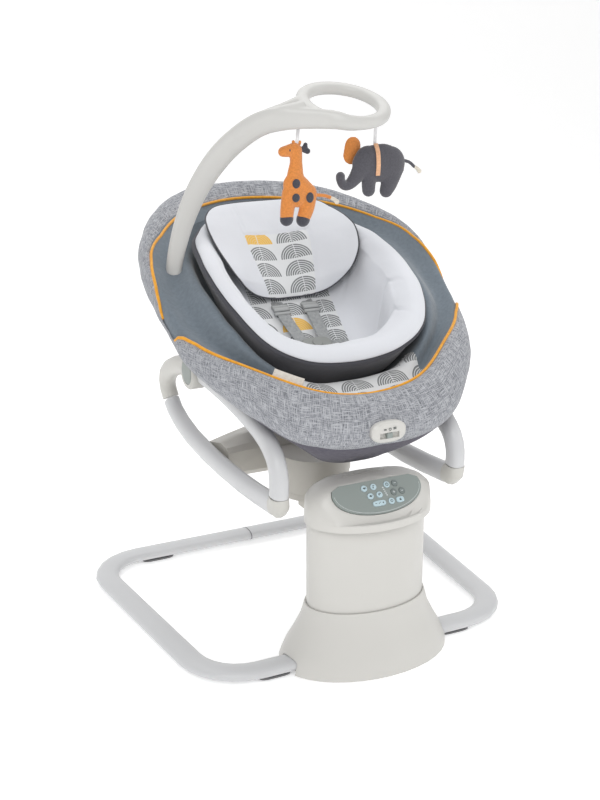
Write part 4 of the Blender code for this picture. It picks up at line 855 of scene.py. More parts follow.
# The lining: slate knit from the piping down under the body insert, pulled over the rim between the
# piping's ends.
lining_table = np.array([stations(GIRTH), stations(CREST), stations(LINING_RIM), stations(LINING_SIDE),
                         stations(LINING_LOW), pole((0, 0.250, 0.492))])
share = np.linspace(0, 1, 54)[:, None]
start = 2.0 - top_edge(u)
v = start - 0.06 + (5.0 - start + 0.06) * share
lining_points = on_rows(lining_table, u + 0 * v, v)
lining_out = out_of(lining_table, u + 0 * v, v, 1.0)
lining_out *= 1.0 if lining_out[20, 0, 2] > 0 else -1.0
rise = np.clip(1 - share * 1.6, 0, 1) * np.ones_like(u)
lining_points = ruffle(lining_points + lining_out * (0.0008 * rise)[..., None],
                       lining_out * np.minimum(1, 4 * share)[..., None],
                       0.0011)
closed_lining = np.concatenate([lining_points, lining_points[:, :1]], 1)
seat_lining = grid_mesh("seat_lining", closed_lining, uv=cloth_uv(closed_lining))
fitted(seat_lining, slate, "seat", "heather", "seat_pad")

share = np.linspace(0, 1, 40)[:, None]
v = low_edge(u) - 0.10 + (6.0 - low_edge(u) + 0.10) * share
normal = out_of(cover_table, u + 0 * v, np.minimum(v, 5.9), COVER_OUT)
under_points = ruffle(on_rows(cover_table, u + 0 * v, v) - normal * 0.0012,
                      normal * np.sin(np.pi * share)[..., None], 0.0016)
closed_under = np.concatenate([under_points, under_points[:, :1]], 1)
seat_under = grid_mesh("seat_underside", closed_under, uv=cloth_uv(closed_under))
fitted(seat_under, under_cloth, "seat", "heather")


def joined_up(piece):
    """Merges points that coincide at seams and poles, and turns every face outward."""
    build = bmesh.new()
    build.from_mesh(piece.data)
    bmesh.ops.remove_doubles(build, verts=build.verts, dist=0.000002)
    bmesh.ops.recalc_face_normals(build, faces=build.faces)
    build.to_mesh(piece.data)
    build.free()
    piece.data.shade_smooth()
    return piece


def swept(path, facing, half_out, half_side, sides=14, square=1.0):
    """A bar along a path: an oval or boxy section, half_out thick toward facing and half_side wide,
    ended in points."""
    path = np.asarray(path, float)
    ahead = np.gradient(path, axis=0)
    ahead /= np.linalg.norm(ahead, axis=1)[:, None] + 1e-12
    face = np.broadcast_to(np.asarray(facing, float), path.shape)
    face = face - (face * ahead).sum(1)[:, None] * ahead
    face = face / np.linalg.norm(face, axis=1)[:, None]
    beside = np.cross(ahead, face)
    angle = np.linspace(0, 2 * np.pi, sides, endpoint=False)
    c = np.sign(np.cos(angle)) * np.abs(np.cos(angle)) ** square
    s = np.sign(np.sin(angle)) * np.abs(np.sin(angle)) ** square
    half_out = np.broadcast_to(half_out, len(path))[:, None, None]
    half_side = np.broadcast_to(half_side, len(path))[:, None, None]
    rings = path[:, None] + half_out * c[:, None] * face[:, None] + half_side * s[:, None] * beside[:, None]
    ends = np.repeat(path[[0, -1]][:, None], sides, 1)
    return np.concatenate([ends[:1], rings, ends[1:]])


def bar(name, path, facing, half_out, half_side, finish, body, slot, sides=14, square=1.0):
    """A swept bar as a closed piece, with cloth coordinates along it and round it."""
    grid = swept(path, facing, half_out, half_side, sides, square)
    grid = np.concatenate([grid, grid[:, :1]], 1)
    length = run_length(grid, 0).max(1)
    round_it = run_length(grid, 1)[len(grid) // 2]
    uv = np.stack(np.broadcast_arrays(length[:, None], round_it[None]), -1)
    piece = joined_up(grid_mesh(name, grid, uv=uv))
    return fitted(piece, finish, body, slot)


def smooth_path(points, count):
    """A curve through the given points, sampled evenly by their numbers."""
    points = np.asarray(points, float)
    t = np.linspace(0, len(points) - 1, count)
    i = np.clip(np.floor(t).astype(int), 0, len(points) - 2)
    w = blend_weights(t - i)
    near = points[np.clip(i[:, None] + np.array([-1, 0, 1, 2]), 0, len(points) - 1)]
    return np.einsum("na,nac->nc", w, near)


for piece, cloth, cut in ((seat_band, closed_band, flat_size), (seat_lining, closed_lining, round_cut),
                          (seat_under, closed_under, round_cut)):
    joined_up(piece)
    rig.sheet(piece, flat=cut(cloth), held="stretched", rests_on=["seat_frame"], area=cloth_area(cloth))

# Orange piping: a filled cord along both edges of the heather band, its ends tucked under the slate at
# the rim.
for name, first, last in (("piping_front", -FRONT_END - 0.06, FRONT_END + 0.06),
                          ("piping_head", HEAD_END - 0.04, 16 - HEAD_END + 0.04)):
    along = np.linspace(first, last, 260)
    row = top_edge(along)
    lift = 0.0018 - 0.005 * np.clip(1 - 12 * (1 - np.abs(2 * (along - first) / (last - first) - 1)), 0, 1)
    up = out_of(cover_table, along, row, COVER_OUT)
    bar(name, on_rows(cover_table, along, row) + up * lift[:, None], up, PIPING_R, PIPING_R, piping_orange,
        "seat", "heather", 10)

# A blank folded fabric label is sewn in beside the front piping.
label_cloth = cloth_base("label_cloth", (0.60, 0.56, 0.50), (0.72, 0.68, 0.62), even_knit, 0.9, 0.1)
along = np.linspace(14.38, 14.80, 16)
row = top_edge(along)
up = out_of(cover_table, along, row, COVER_OUT)
label_path = on_rows(cover_table, along, row) + up * 0.0075 + (0, 0.002, 0.002)
bar("sewn_label", label_path, (-0.55, -0.75, 0.35), 0.0010, 0.0072, label_cloth, "seat", "heather",
    16, 0.35)

# ------------------------------------------------------------------------------ body insert
# A removable padded nest: white jersey over foam, a fat rolled rim, a dark edge and side, and a
# printed centre panel.
INSERT_RIM = ((0, 0.056, 0.527), (0.085, 0.052, 0.539), (0.148, 0.070, 0.570), (0.181, 0.126, 0.614),
              (0.192, 0.205, 0.654), (0.184, 0.292, 0.687), (0.160, 0.362, 0.706), (0.100, 0.424, 0.726),
              (0, 0.450, 0.732))
INSERT_SIDE = ((0, 0.070, 0.509), (0.084, 0.066, 0.521), (0.145, 0.084, 0.551), (0.178, 0.136, 0.593),
               (0.189, 0.210, 0.632), (0.182, 0.298, 0.664), (0.158, 0.370, 0.685), (0.099, 0.436, 0.704),
               (0, 0.464, 0.710))
INSERT_BASE = ((0, 0.140, 0.460), (0.050, 0.142, 0.460), (0.090, 0.155, 0.465), (0.115, 0.185, 0.477),
               (0.120, 0.225, 0.502), (0.115, 0.285, 0.547), (0.098, 0.340, 0.590), (0.060, 0.395, 0.637),
               (0, 0.415, 0.652))
INSERT_POLE = (0, 0.250, 0.514)
RIM_MIDDLE = np.array([0, 0.250, 0.640])
RIM_UP = np.array([0, -0.460, 0.888])
FLOOR_LIFT = 0.0205


def jersey(name, colour, printed=None, rough=0.88):
    """Soft white or dark jersey: fine knit and slow dimples; where printed gives (mask, colour), it
    shows the print."""
    made, tree, shader = new_material(name)
    where = place(tree)
    tone = shades(tree, noise(tree, where, 9.0, 3.0), tuple(c * 0.955 for c in colour), colour)
    if printed:
        mask, picture = printed(tree, where)
        mix = node(tree, "ShaderNodeMix", [(6, tone), (7, picture)], data_type="RGBA")
        tree.links.new(mask, mix.inputs["Factor"])
        tone = mix.outputs[2]
    tree.links.new(tone, shader.inputs["Base Color"])
    shader.inputs["Roughness"].default_value = rough
    shader.inputs["Sheen Weight"].default_value = 0.2
    knit = noise(tree, where, 900.0, 3.0, 0.6)
    dimple = noise(tree, where, 30.0, 3.0, 0.55)
    height = node(tree, "ShaderNodeMath", [(0, times(tree, knit, 0.25)), (1, times(tree, dimple, 2.2))],
                  operation="ADD")
    raised(tree, shader, height.outputs[0], 0.35, 0.0012)
    return made


def insert_print(tree, where):
    """The printed panel covers the middle of the nest's floor and back, well below its rim."""
    do = partial(maths, tree)
    narrow = do("LESS_THAN", do("ABSOLUTE", along_axis(tree, where, (1, 0, 0), 0.0)), 0.082)
    deep = do("LESS_THAN", along_axis(tree, where, (0, -0.460, 0.888), -0.4533), -0.030)
    mask = do("MULTIPLY", narrow, deep)
    return mask, fan_print(tree, where, (0, 0.819, 0.573), 0.0443, -0.5085 + 4 * FAN_ROW, (0.0, 4.0))


rim = stations(INSERT_RIM)
side = stations(INSERT_SIDE)
base = stations(INSERT_BASE)
inward = RIM_MIDDLE - rim
insert_table = np.array([
    pole(INSERT_POLE), base, side, rim - RIM_UP * 0.003, rim + inward * 0.045 + RIM_UP * 0.0075,
    rim + inward * 0.130 + RIM_UP * 0.0085, rim + inward * 0.215 - RIM_UP * 0.006,
    side + (RIM_MIDDLE - RIM_UP * 0.036 - side) * 0.245,
    base * (0.88, 1, 1) + (np.array([0, 0.25, 0.55]) - base) * (0, 0.06, 0)
    + RIM_UP * FLOOR_LIFT, pole(np.array(INSERT_POLE) + RIM_UP * FLOOR_LIFT)])
u = np.linspace(0, 16, 241)
v = np.concatenate([np.linspace(0, 3, 27)[:-1], np.linspace(3, 9, 80)])[:, None]
v = np.minimum(v, 8.9999)
nest = on_rows(insert_table, u + 0 * v, v)
nest_out = out_of(insert_table, u + 0 * v, np.clip(v, 0.02, 8.98))
nest_out *= np.sign(nest_out[60, 0] @ RIM_UP)
crease = np.zeros_like(v + u)
for at, deep in ((2.25, 0.0050), (3.35, 0.0042), (12.65, 0.0042), (13.75, 0.0050), (5.2, 0.0034),
                 (10.8, 0.0034)):
    lean = at + 0.16 * np.sin((v - 5.5) * 1.2)
    crease += deep * np.exp(-((u - lean) / 0.055) ** 2) * np.exp(-((v - 6.6) / 1.25) ** 2)
crease += 0.0022 * np.exp(-((v - 3.0) / 0.10) ** 2)
pad = np.exp(-((v - 6.9) / 0.8) ** 2) * 0.0035 * np.sin(u * 2.4 + 0.6) ** 2
nest = nest + nest_out * (pad - crease)[..., None]
nest = ruffle(nest, nest_out, 0.0009)
body_nest = grid_mesh("body_nest", nest, uv=cloth_uv(nest))
JERSEY_WHITE = (0.72, 0.735, 0.775)
white_jersey = jersey("white_jersey", JERSEY_WHITE, insert_print)
dark_edge = jersey("dark_edge_cloth", (0.060, 0.060, 0.072))
wear(body_nest, white_jersey, dark_edge)
face_rows = np.repeat((v[:-1, 0] < 3.02).astype(np.int32), nest.shape[1] - 1)
body_nest.data.polygons.foreach_set("material_index", face_rows)
joined_up(body_nest)
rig.ride(body_nest, "seat")
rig.slot(body_nest, "padding")
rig.replaces(body_nest, "body_insert")
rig.padded(body_nest, fill=0.7)

# ------------------------------------------------------------------------------ head cushion
# A wide white cushion laid over the head end of the nest, piped dark round its edge, with the same
# print in its middle.
CUSHION_AT = np.array([0, 0.360, 0.670])
CUSHION_OUT = np.array([0, -0.777, 0.629])
CUSHION_UP = np.array([0, 0.629, 0.777])
CUSHION_EDGE = ((0, -0.1040), (0.040, -0.1045), (0.078, -0.0985), (0.113, -0.0790), (0.134, -0.0490),
                (0.144, -0.0180),
                (0.1465, 0.0120), (0.1410, 0.0420), (0.1290, 0.0700), (0.1050, 0.0920), (0.060, 0.1010),
                (0, 0.1030))
LIFT_AT = (-0.100, -0.080, -0.050, -0.020, 0.010, 0.040, 0.070, 0.100)
LIFT = (2.6, 3.5, 3.25, 2.8, 2.4, 1.8, 0.95, 0.6)
PANEL_HALF_TOP, PANEL_HALF_LOW, PANEL_TOP = 0.064, 0.047, 0.026
CUSHION_FRONT, CUSHION_BACK, CUSHION_PIPING_R = 0.0090, 0.0075, 0.0017
edge = np.asarray(CUSHION_EDGE, float)
edge = np.concatenate([edge, (edge[1:-1] * (-1, 1))[::-1]])
turn = np.linspace(0, len(edge), 220)
i = np.floor(turn).astype(int)
edge = np.einsum("na,nac->nc", blend_weights(turn - i),
                 edge[(i[:, None] + np.array([-1, 0, 1, 2])) % len(edge)])
edge[-1] = edge[0]
out_share = np.concatenate([np.sin(np.linspace(0, np.pi / 2, 22)),
                            np.sin(np.linspace(np.pi / 2, 0, 40))[1:]])[:, None]
front = np.concatenate([np.zeros(22), np.ones(39)])[:, None]
s = edge[:, 0] * out_share
t = edge[:, 1] * out_share
full = np.sqrt(np.clip(1 - out_share ** 3.2, 0, 1))
panel_half = np.interp(t, (-0.104, 0.0), (PANEL_HALF_LOW, PANEL_HALF_TOP))
lobes = 0.0050 * np.exp(-((np.abs(s) - 0.100) / 0.030) ** 2)
grooves = 0.0030 * np.exp(-((np.abs(s) - panel_half) / 0.0030) ** 2) * (t < 0.098)
grooves = grooves + 0.0022 * np.exp(-((t - PANEL_TOP) / 0.0028) ** 2) * (np.abs(s) < panel_half)
thick = full * np.where(front > 0, CUSHION_FRONT + lobes, -CUSHION_BACK) - front * full * grooves
dish = np.interp(t, LIFT_AT, LIFT) * s ** 2
cushion = (CUSHION_AT + s[..., None] * np.array([1.0, 0, 0]) + t[..., None] * CUSHION_UP
           + (thick + dish)[..., None] * CUSHION_OUT)
cushion = ruffle(cushion, (CUSHION_OUT * np.sign(front - 0.5)[..., None]) * full[..., None], 0.0010)


def cushion_print(tree, where):
    """The cushion's printed panel lies between its two seams and ends a little above its middle."""
    do = partial(maths, tree)
    up = along_axis(tree, where, tuple(CUSHION_UP), -float(CUSHION_AT @ CUSHION_UP))
    half = between(tree, up, -0.104, 0.0, PANEL_HALF_LOW, PANEL_HALF_TOP)
    across = do("ABSOLUTE", along_axis(tree, where, (1, 0, 0), 0.0))
    mask = do("MULTIPLY", do("LESS_THAN", across, half), do("LESS_THAN", up, PANEL_TOP))
    picture = fan_print(tree, where, tuple(CUSHION_UP), 0.0059 + 2.0 * FAN_PITCH,
                        -float(CUSHION_AT @ CUSHION_UP) - 0.0030 + 4 * FAN_ROW, (1.0, 4.0))
    return mask, picture


head_cushion = grid_mesh("head_cushion_pad", cushion, uv=cloth_uv(cushion))
wear(head_cushion, jersey("white_jersey_printed", JERSEY_WHITE, cushion_print), dark_edge)
row_kind = np.repeat((np.arange(len(cushion) - 1) < 21).astype(np.int32), cushion.shape[1] - 1)
head_cushion.data.polygons.foreach_set("material_index", row_kind)
joined_up(head_cushion)
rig.ride(head_cushion, "seat")
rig.slot(head_cushion, "padding")
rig.replaces(head_cushion, "head_cushion")
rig.padded(head_cushion, fill=0.65)
rim_line = (CUSHION_AT + edge[:, :1] * np.array([1.0, 0, 0]) + edge[:, 1:] * CUSHION_UP
            + (np.interp(edge[:, 1], LIFT_AT, LIFT) * edge[:, 0] ** 2 - 0.0002)[:, None] * CUSHION_OUT)
bar("cushion_piping", rim_line, CUSHION_OUT, CUSHION_PIPING_R, CUSHION_PIPING_R, dark_edge, "seat",
    "padding", 8)

# ------------------------------------------------------------------------------ harness
# Grey webbing: two shoulder straps with slide adjusters and two waist straps meet at a moulded buckle.
webbing = cloth_base("grey_webbing", (0.25, 0.26, 0.265), (0.36, 0.37, 0.375), even_knit, 0.8, 0.1, 4200.0,
                     0.6, 0.0006)
buckle_grey = moulded("buckle_grey_green", (0.215, 0.225, 0.215), 0.38, 1500.0, 0.10)
for name in ("buckle", "buckle_button"):
    dress(name, buckle_grey)
WEBBING_HALF = 0.0013


def strap(name, points, count, facing, half_side):
    """Flat webbing along a smooth path, its face turned toward facing."""
    return bar(name, smooth_path(points, count), facing, WEBBING_HALF, half_side, webbing, "seat",
               "webbing", 16, 0.4)


for name, hand in (("strap_left", -1), ("strap_right", 1)):
    shoulder = strap(name, [(0.0310 * hand, 0.345, 0.6130), (0.0305 * hand, 0.300, 0.5820),
                            (0.0290 * hand, 0.258, 0.5580),
                            (0.0240 * hand, 0.212, 0.5335), (0.0200 * hand, 0.196, 0.5270)], 40,
                            (0, -0.5, 0.86), 0.0120)
    if hand < 0:
        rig.replaces(shoulder, "harness")
for name, hand in (("waist_left", -1), ("waist_right", 1)):
    strap(name, [(0.022 * hand, 0.192, 0.5190), (0.050 * hand, 0.196, 0.5175),
                 (0.072 * hand, 0.204, 0.5150),
                 (0.094 * hand, 0.214, 0.4980)], 34, (0, -0.45, 0.89), 0.0110)
strap("crotch_strap", [(0, 0.178, 0.5150), (0, 0.150, 0.4990), (0, 0.120, 0.4960)], 24,
      (0, -0.3, 0.95), 0.0150)
adjuster_grey = moulded("adjuster_grey", (0.36, 0.37, 0.37), 0.42, 1300.0, 0.10)
ADJUSTER_AT = np.array([0, 0.2780, 0.5700])
STRAP_RUN, STRAP_OUT = np.array([0, 0.82, 0.57]), np.array([0, -0.57, 0.82])
for name, x in (("adjuster_left", -0.0302), ("adjuster_right", 0.0302)):
    for part, step, lift, half in (("upper", 0.0085, 0.0012, 0.0034), ("lower", -0.0085, 0.0012, 0.0034),
                                   ("bar", 0.0, 0.0032, 0.0046)):
        middle = ADJUSTER_AT + (x, 0, 0) + step * STRAP_RUN + lift * STRAP_OUT
        bar(name + "_" + part, middle + np.outer(np.linspace(-0.0160, 0.0160, 9), (1.0, 0, 0)),
            tuple(STRAP_OUT), 0.0026, half, adjuster_grey, "seat", "webbing", 12, 0.6)

# ------------------------------------------------------------------------------ vibration unit
# The oval unit in the nose of the cover carries three small marks over its slide window.
UNIT_FACE = np.array([0, -0.0760, 0.4435])
dress("vibration_switch", panel_green)
UNIT_LINE = 0.0004
unit_marks = [stroke([(-0.0115, 0.0), (-0.0065, 0.0)], UNIT_LINE),
              stroke([(-0.0115, 0.0014), (-0.0065, 0.0014)], UNIT_LINE),
              stroke(arc(0, 0.0006, 0.0021)[:-1], UNIT_LINE, True),
              stroke([(0.0062, 0.0), (0.0118, 0.0)], UNIT_LINE),
              stroke([(0.0062, 0.0014), (0.0118, 0.0014)], UNIT_LINE),
              stroke([(0.0062, 0.0028), (0.0118, 0.0028)], UNIT_LINE)]
plate_on("unit_marks", unit_marks, UNIT_FACE, np.array([0, 0, 1.0]), np.array([0, -1.0, 0]), 0.0, 0.00015,
         ink_dark,
         "seat", "dark_plastic")

# ------------------------------------------------------------------------------ toy arch
# A curved moulding rises from its socket, flattens and widens, and runs tangentially round an open hoop.
arch_white = moulded("arch_white_moulding", (0.57, 0.565, 0.545), 0.36, 1100.0, 0.07)
HOOP_AT = np.array([0, 0.0996, 0.9530])
HOOP_R, HOOP_HALF_OUT, HOOP_HALF_UP = 0.0680, 0.0116, 0.0100
HOOP_TILT = math.radians(20.0)
HOOP_BACK = np.array([0, math.cos(HOOP_TILT), math.sin(HOOP_TILT)])
HOOP_UP = np.array([0, -math.sin(HOOP_TILT), math.cos(HOOP_TILT)])
ARCH_PATH = [(-0.2300, 0.2980, 0.6515), (-0.2298, 0.2975, 0.6680), (-0.2233, 0.2920, 0.7065),
             (-0.2154, 0.2750, 0.7527),
             (-0.2046, 0.2400, 0.8086), (-0.1881, 0.1950, 0.8617), (-0.1659, 0.1550, 0.9006),
             (-0.1376, 0.1180, 0.9280)]


def on_hoop(degrees, reach):
    t = np.radians(np.asarray(degrees, float))
    reach = np.broadcast_to(reach, t.shape)
    return HOOP_AT + (reach * np.cos(t))[:, None] * np.array([1.0, 0,
        0]) + (reach * np.sin(t))[:, None] * HOOP_BACK


front_run = smooth_path(ARCH_PATH + [(-0.1030, 0.0840, 0.9370)] + on_hoop((228, 252, 276, 300),
    0.0690).tolist(), 150)
rear_run = smooth_path([(-0.1881, 0.1950, 0.8617), (-0.1640, 0.1580, 0.9030), (-0.1330, 0.1280, 0.9330),
                        (-0.1010, 0.1140, 0.9480)] + on_hoop((160, 138, 116), 0.0690).tolist(), 80)
web_run = smooth_path([(-0.1640, 0.1560, 0.9020), (-0.1360, 0.1230, 0.9300), (-0.1060, 0.0990, 0.9425),
                       (-0.0760, 0.0930, 0.9500)], 50)
share = np.linspace(0, 1, 150)
front_bar = swept(front_run, (0.45, 0.87, 0.25),
                  np.interp(share, (0, 0.5, 0.7, 1), (0.0112, 0.0104, 0.0100, 0.0080)),
                  np.interp(share, (0, 0.12, 0.42, 0.62, 0.80, 1),
                            (0.0130, 0.0150, 0.0205, 0.0205, 0.0140, 0.0090)), 20, 0.85)
web = swept(web_run, (0.30, 0.35, 0.88), np.linspace(0.0110, 0.0125, 50), np.linspace(0.0170, 0.0250, 50),
            20, 0.85)
rear_bar = swept(rear_run, (0.45, 0.87, 0.25), 0.0085,
                 np.interp(np.linspace(0, 1, 80), (0, 0.4, 1), (0.0170, 0.0130, 0.0085)), 20, 0.85)
turn = np.linspace(0, 2 * np.pi, 97)
ring_path = on_hoop(np.degrees(turn), HOOP_R)
outward = (ring_path - HOOP_AT) / HOOP_R
angle = np.linspace(0, 2 * np.pi, 24, endpoint=False)
c = np.sign(np.cos(angle)) * np.abs(np.cos(angle)) ** 0.7
sn = np.sign(np.sin(angle)) * np.abs(np.sin(angle)) ** 0.7
hoop = (ring_path[:-1, None] + HOOP_HALF_OUT * c[:, None] * outward[:-1, None]
        + HOOP_HALF_UP * sn[:, None] * HOOP_UP)


def one_skin(name, grids, voxel, passes):
    """Joins closed forms into one skin of even squares and rounds it, so that they flow into each other."""
    parts = [joined_up(grid_mesh(name + "_part", grid, close_u=True, close_v=wrapped)) for grid,
             wrapped in grids]
    build = bmesh.new()
    for part in parts:
        build.from_mesh(part.data)
        bpy.data.objects.remove(part)
    mesh = bpy.data.meshes.new(name)
    build.to_mesh(mesh)
    build.free()
    piece = bpy.data.objects.new(name, mesh)
    bpy.context.scene.collection.objects.link(piece)
    skin = piece.modifiers.new("skin", "REMESH")
    skin.mode = "VOXEL"
    skin.voxel_size = voxel
    soften = piece.modifiers.new("soften", "SMOOTH")
    soften.factor = 0.6
    soften.iterations = passes
    graph = bpy.context.evaluated_depsgraph_get()
    made = bpy.data.meshes.new_from_object(piece.evaluated_get(graph))
    piece.modifiers.clear()
    piece.data = made
    made.shade_smooth()
    return piece


toy_arch = one_skin("toy_arch", [(front_bar, False), (rear_bar, False), (web, False), (hoop, True)],
                    0.0022, 8)
fitted(toy_arch, arch_white, "toy_arch", "white_plastic", "toy_bar")
screw_at = np.array([-0.0900, 0.0860, 0.9480])
cap_out = np.array([-0.25, -0.35, 0.90]) / np.linalg.norm((-0.25, -0.35, 0.90))
cap_half = np.array([0.0050, 0.0050, 0.0050, 0.0050, 0.0048, 0.0038])
bar("arch_screw_cap", screw_at + np.linspace(-0.006, 0.0016, 6)[:, None] * cap_out, (1, 0, 0.2), cap_half,
    cap_half,
    arch_white, "toy_arch", "white_plastic", 28)

# ------------------------------------------------------------------------------ toys
# Two small stuffed felt animals, each sewn from two faces round a filling, hang on short white tapes.
def felt(name, colour):
    """Woolly felt: a soft fuzz with slight mottling."""
    made, tree, shader = new_material(name)
    where = place(tree)
    fuzz = noise(tree, where, 340.0, 5.0, 0.7)
    tree.links.new(shades(tree, between(tree, fuzz, 0.3, 0.7, 0.0, 1.0), tuple(c * 0.78 for c in colour),
                          tuple(min(1.0, c * 1.12) for c in colour)), shader.inputs["Base Color"])
    shader.inputs["Roughness"].default_value = 0.95
    shader.inputs["Sheen Weight"].default_value = 0.35
    weft = node(tree, "ShaderNodeTexWave", wave_type="BANDS", bands_direction="DIAGONAL")
    weft.inputs["Scale"].default_value = 420.0
    tree.links.new(where, weft.inputs["Vector"])
    height = node(tree, "ShaderNodeMath", [(0, fuzz), (1, times(tree, weft.outputs["Fac"], 0.3))],
                  operation="ADD")
    raised(tree, shader, height.outputs[0], 0.6, 0.0007)
    return made


orange_felt = felt("orange_felt", (0.70, 0.25, 0.055))
grey_felt = felt("dark_grey_felt", (0.085, 0.083, 0.098))
spot_felt = felt("spot_felt", (0.055, 0.056, 0.072))
peach_felt = felt("peach_felt", (0.80, 0.45, 0.26))
cream_yarn = felt("cream_yarn", (0.72, 0.66, 0.56))
white_tape = cloth_base("white_tape", (0.70, 0.70, 0.71), (0.84, 0.84, 0.85), even_knit, 0.85, 0.1,
                        5200.0, 0.5)
FACING = (0, -1.0, 0)


def limb(at, points, half, deep):
    """A stuffed limb in the toy's plane: a path of (x, z) from its hanging point, with half circles at
    both ends.

    Past each end the path goes on by the half width times a sine, while the width shrinks by the cosine."""
    path = smooth_path([(at[0] + x, at[1], at[2] + z) for x, z in points], 22)
    wide = np.interp(np.linspace(0, 1, 22), np.linspace(0, 1, len(half)), half)
    turn = np.linspace(0, np.pi / 2, 8)[1:] * 0.97
    head, tail = path[0] - path[1], path[-1] - path[-2]
    head, tail = head / np.linalg.norm(head), tail / np.linalg.norm(tail)
    start = path[0] + np.outer(np.sin(turn) * wide[0], head)
    end = path[-1] + np.outer(np.sin(turn) * wide[-1], tail)
    path = np.concatenate([start[::-1], path, end])
    shrink = np.concatenate([np.cos(turn)[::-1], np.ones(22), np.cos(turn)])
    wide = np.concatenate([np.full(7, wide[0]), wide, np.full(7, wide[-1])])
    return swept(path, FACING, np.minimum(deep, wide) * shrink, wide * shrink, 20), False


def badge(name, at, x, z, half_x, half_z, lift, finish, body, slot):
    """A small sewn-on oval: a flat domed disc standing on the toy's front face."""
    ring = np.linspace(0, 2 * np.pi, 28, endpoint=False)
    reach = np.array([0.02, 1.0, 1.0, 0.85, 0.5, 0.02])[:, None]
    level = np.array([0.0025, 0.0025, 0.0, -0.0007, -0.0010, -0.0011])[:, None] + 0 * ring
    disc = np.stack([at[0] + x + half_x * reach * np.cos(ring), at[1] - lift + level,
                     at[2] + z + half_z * reach * np.sin(ring)], -1)
    piece = joined_up(grid_mesh(name, np.concatenate([disc, disc[:, :1]], 1)))
    return fitted(piece, finish, body, slot)


def plush(name, at, limbs, voxel, passes, finish, body, slot):
    """Stuffed limbs joined into one felt skin on the body that carries the toy; each limb is (points,
    half, deep)."""
    return fitted(one_skin(name, [limb(at, *each) for each in limbs], voxel, passes), finish, body, slot)


def tape(name, points, body):
    """A short white tape that the toy hangs from."""
    bar(name, smooth_path(points, 16), FACING, 0.0012, 0.0028, white_tape, body, "webbing", 12, 0.5)


GIRAFFE = ("giraffe_toy", "orange_plush")
ELEPHANT = ("elephant_toy", "grey_plush")
GIRAFFE_AT = np.array([-0.0780, 0.0940, 0.9220])
giraffe = plush("giraffe", GIRAFFE_AT, [
    ([(-0.0345, -0.0385), (-0.0260, -0.0375), (-0.0150, -0.0360)], (0.0085, 0.0100, 0.0118), 0.0075),
    ([(-0.0120, -0.0370), (-0.0110, -0.0560), (-0.0125, -0.0780), (-0.0110, -0.0900)],
     (0.0112, 0.0105, 0.0150, 0.0210), 0.0090),
    ([(-0.0140, -0.0930), (-0.0080, -0.1080)], (0.0205, 0.0225), 0.0100),
    ([(-0.0060, -0.0860), (0.0100, -0.1080)], (0.0110, 0.0165), 0.0095),
    ([(-0.0230, -0.1060), (-0.0268, -0.1300), (-0.0285, -0.1470)], (0.0135, 0.0125, 0.0112), 0.0090),
    ([(0.0120, -0.1120), (0.0085, -0.1330), (0.0020, -0.1500)], (0.0150, 0.0135, 0.0115), 0.0090),
], 0.0013, 5, orange_felt, *GIRAFFE)
plush("giraffe_tail", GIRAFFE_AT, [
    ([(0.0220, -0.1120), (0.0400, -0.1140), (0.0520, -0.1180)], (0.0030, 0.0030, 0.0032), 0.0030),
], 0.0010, 3, orange_felt, *GIRAFFE)
plush("giraffe_tassel", GIRAFFE_AT, [
    ([(0.0500, -0.1170), (0.0590, -0.1215), (0.0650, -0.1262)], (0.0024, 0.0034, 0.0044), 0.0030),
], 0.0009, 2, cream_yarn, *GIRAFFE)
plush("giraffe_hooves", GIRAFFE_AT, [
    ([(-0.0284, -0.1475), (-0.0286, -0.1485)], (0.0117, 0.0115), 0.0096),
    ([(0.0019, -0.1508), (0.0015, -0.1518)], (0.0121, 0.0118), 0.0096),
], 0.0011, 3, spot_felt, *GIRAFFE)
plush("giraffe_tuft", GIRAFFE_AT, [
    ([(-0.0150, -0.0385), (-0.0040, -0.0370), (0.0060, -0.0330)], (0.0030, 0.0042, 0.0040), 0.0110),
    ([(0.0010, -0.0370), (0.0095, -0.0395)], (0.0036, 0.0050), 0.0050),
    ([(0.0015, -0.0360), (0.0060, -0.0290)], (0.0026, 0.0036), 0.0040),
], 0.0010, 2, spot_felt, *GIRAFFE)
plush("giraffe_horns", GIRAFFE_AT, [
    ([(-0.0150, -0.0290), (-0.0160, -0.0235)], (0.0026, 0.0030), 0.0026),
    ([(-0.0060, -0.0290), (-0.0045, -0.0245)], (0.0026, 0.0030), 0.0026),
], 0.0009, 2, orange_felt, *GIRAFFE)
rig.replaces(giraffe, "giraffe")
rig.padded(giraffe, fill=0.7)
for name, x, z, wide, tall in (("giraffe_spot_1", -0.0150, -0.0900, 0.0070, 0.0078),
                               ("giraffe_spot_2", -0.0155, -0.1130, 0.0068, 0.0072),
                               ("giraffe_spot_3", 0.0100, -0.1140, 0.0066, 0.0086)):
    badge(name, GIRAFFE_AT, x, z, wide, tall, 0.0098, spot_felt, "giraffe_toy", "grey_plush")
badge("giraffe_eye", GIRAFFE_AT, -0.0255, -0.0360, 0.0013, 0.0021, 0.0068, spot_felt, "giraffe_toy",
      "grey_plush")
tape("giraffe_tape", [GIRAFFE_AT + (-0.0070, 0, 0.0130), GIRAFFE_AT + (-0.0075, 0, -0.0050),
                      GIRAFFE_AT + (-0.0095, 0, -0.0290)],
     "giraffe_toy")

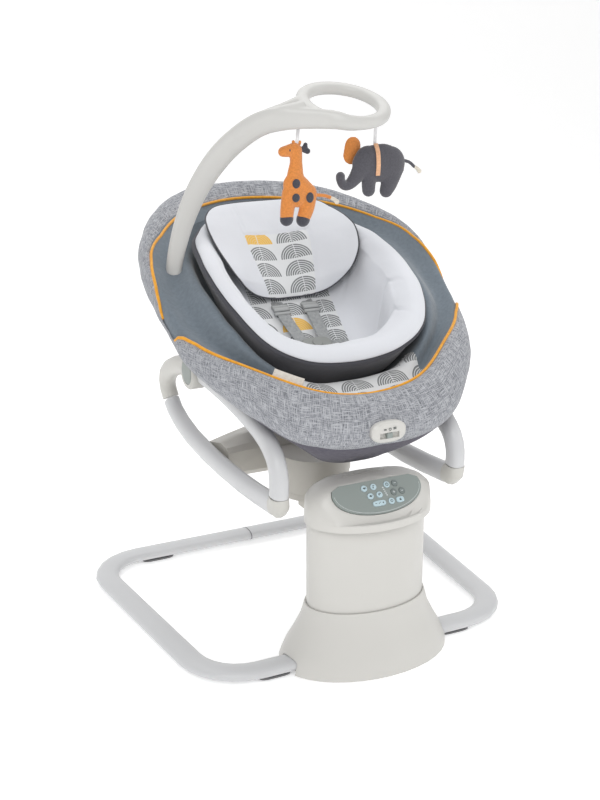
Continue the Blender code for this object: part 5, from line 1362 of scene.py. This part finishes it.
ELEPHANT_AT = np.array([0.0640, 0.0900, 0.9220])
elephant = plush("elephant", ELEPHANT_AT, [
    ([(-0.0130, -0.0660), (0.0060, -0.0660), (0.0200, -0.0680)], (0.0310, 0.0325, 0.0300), 0.0120),
    ([(-0.0225, -0.0590), (-0.0270, -0.0660)], (0.0235, 0.0235), 0.0115),
    ([(-0.0330, -0.0720), (-0.0450, -0.0880), (-0.0570, -0.0985), (-0.0670, -0.0985), (-0.0725, -0.0900),
      (-0.0730, -0.0840)],
         (0.0180, 0.0125, 0.0092, 0.0080, 0.0075, 0.0080), 0.0080),
    ([(-0.0170, -0.0850), (-0.0190, -0.0980), (-0.0190, -0.1095)], (0.0150, 0.0128, 0.0118), 0.0090),
    ([(0.0250, -0.0780), (0.0215, -0.0980), (0.0155, -0.1125)], (0.0240, 0.0165, 0.0125), 0.0090),
], 0.0014, 5, grey_felt, *ELEPHANT)
plush("elephant_ear", ELEPHANT_AT + (0, 0.0120, 0), [
    ([(-0.0440, -0.0360), (-0.0455, -0.0510)], (0.0150, 0.0165), 0.0035),
], 0.0012, 4, orange_felt, *ELEPHANT)
bar("elephant_strip", smooth_path([ELEPHANT_AT + (-0.0085, -0.0030, -0.0330),
                                   ELEPHANT_AT + (-0.0085, -0.0112, -0.0460),
                                           ELEPHANT_AT + (-0.0082, -0.0135, -0.0650),
                                           ELEPHANT_AT + (-0.0080, -0.0115, -0.0850)], 26),
            FACING, 0.0012, 0.0040, peach_felt, "elephant_toy", "orange_plush", 12, 0.5)
plush("elephant_tail", ELEPHANT_AT, [
    ([(0.0480, -0.0640), (0.0600, -0.0680), (0.0690, -0.0755)], (0.0030, 0.0028, 0.0028), 0.0028),
], 0.0010, 2, grey_felt, *ELEPHANT)
plush("elephant_tassel", ELEPHANT_AT, [
    ([(0.0680, -0.0745), (0.0750, -0.0790), (0.0800, -0.0840)], (0.0024, 0.0032, 0.0042), 0.0028),
], 0.0009, 2, cream_yarn, *ELEPHANT)
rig.replaces(elephant, "elephant")
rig.padded(elephant, fill=0.75)
badge("elephant_eye", ELEPHANT_AT, -0.0262, -0.0660, 0.0022, 0.0024, 0.0100, spot_felt, "elephant_toy",
      "grey_plush")
tape("elephant_tape", [ELEPHANT_AT + (-0.0075, 0, 0.0130), ELEPHANT_AT + (-0.0078, 0, -0.0100),
                       ELEPHANT_AT + (-0.0085, 0, -0.0360)],
     "elephant_toy")

# ------------------------------------------------------------------------------ size
with open("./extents.json", "w") as kept:
    json.dump({"cad": cad_box, "visual": [list(corner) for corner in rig.bounds()]}, kept)
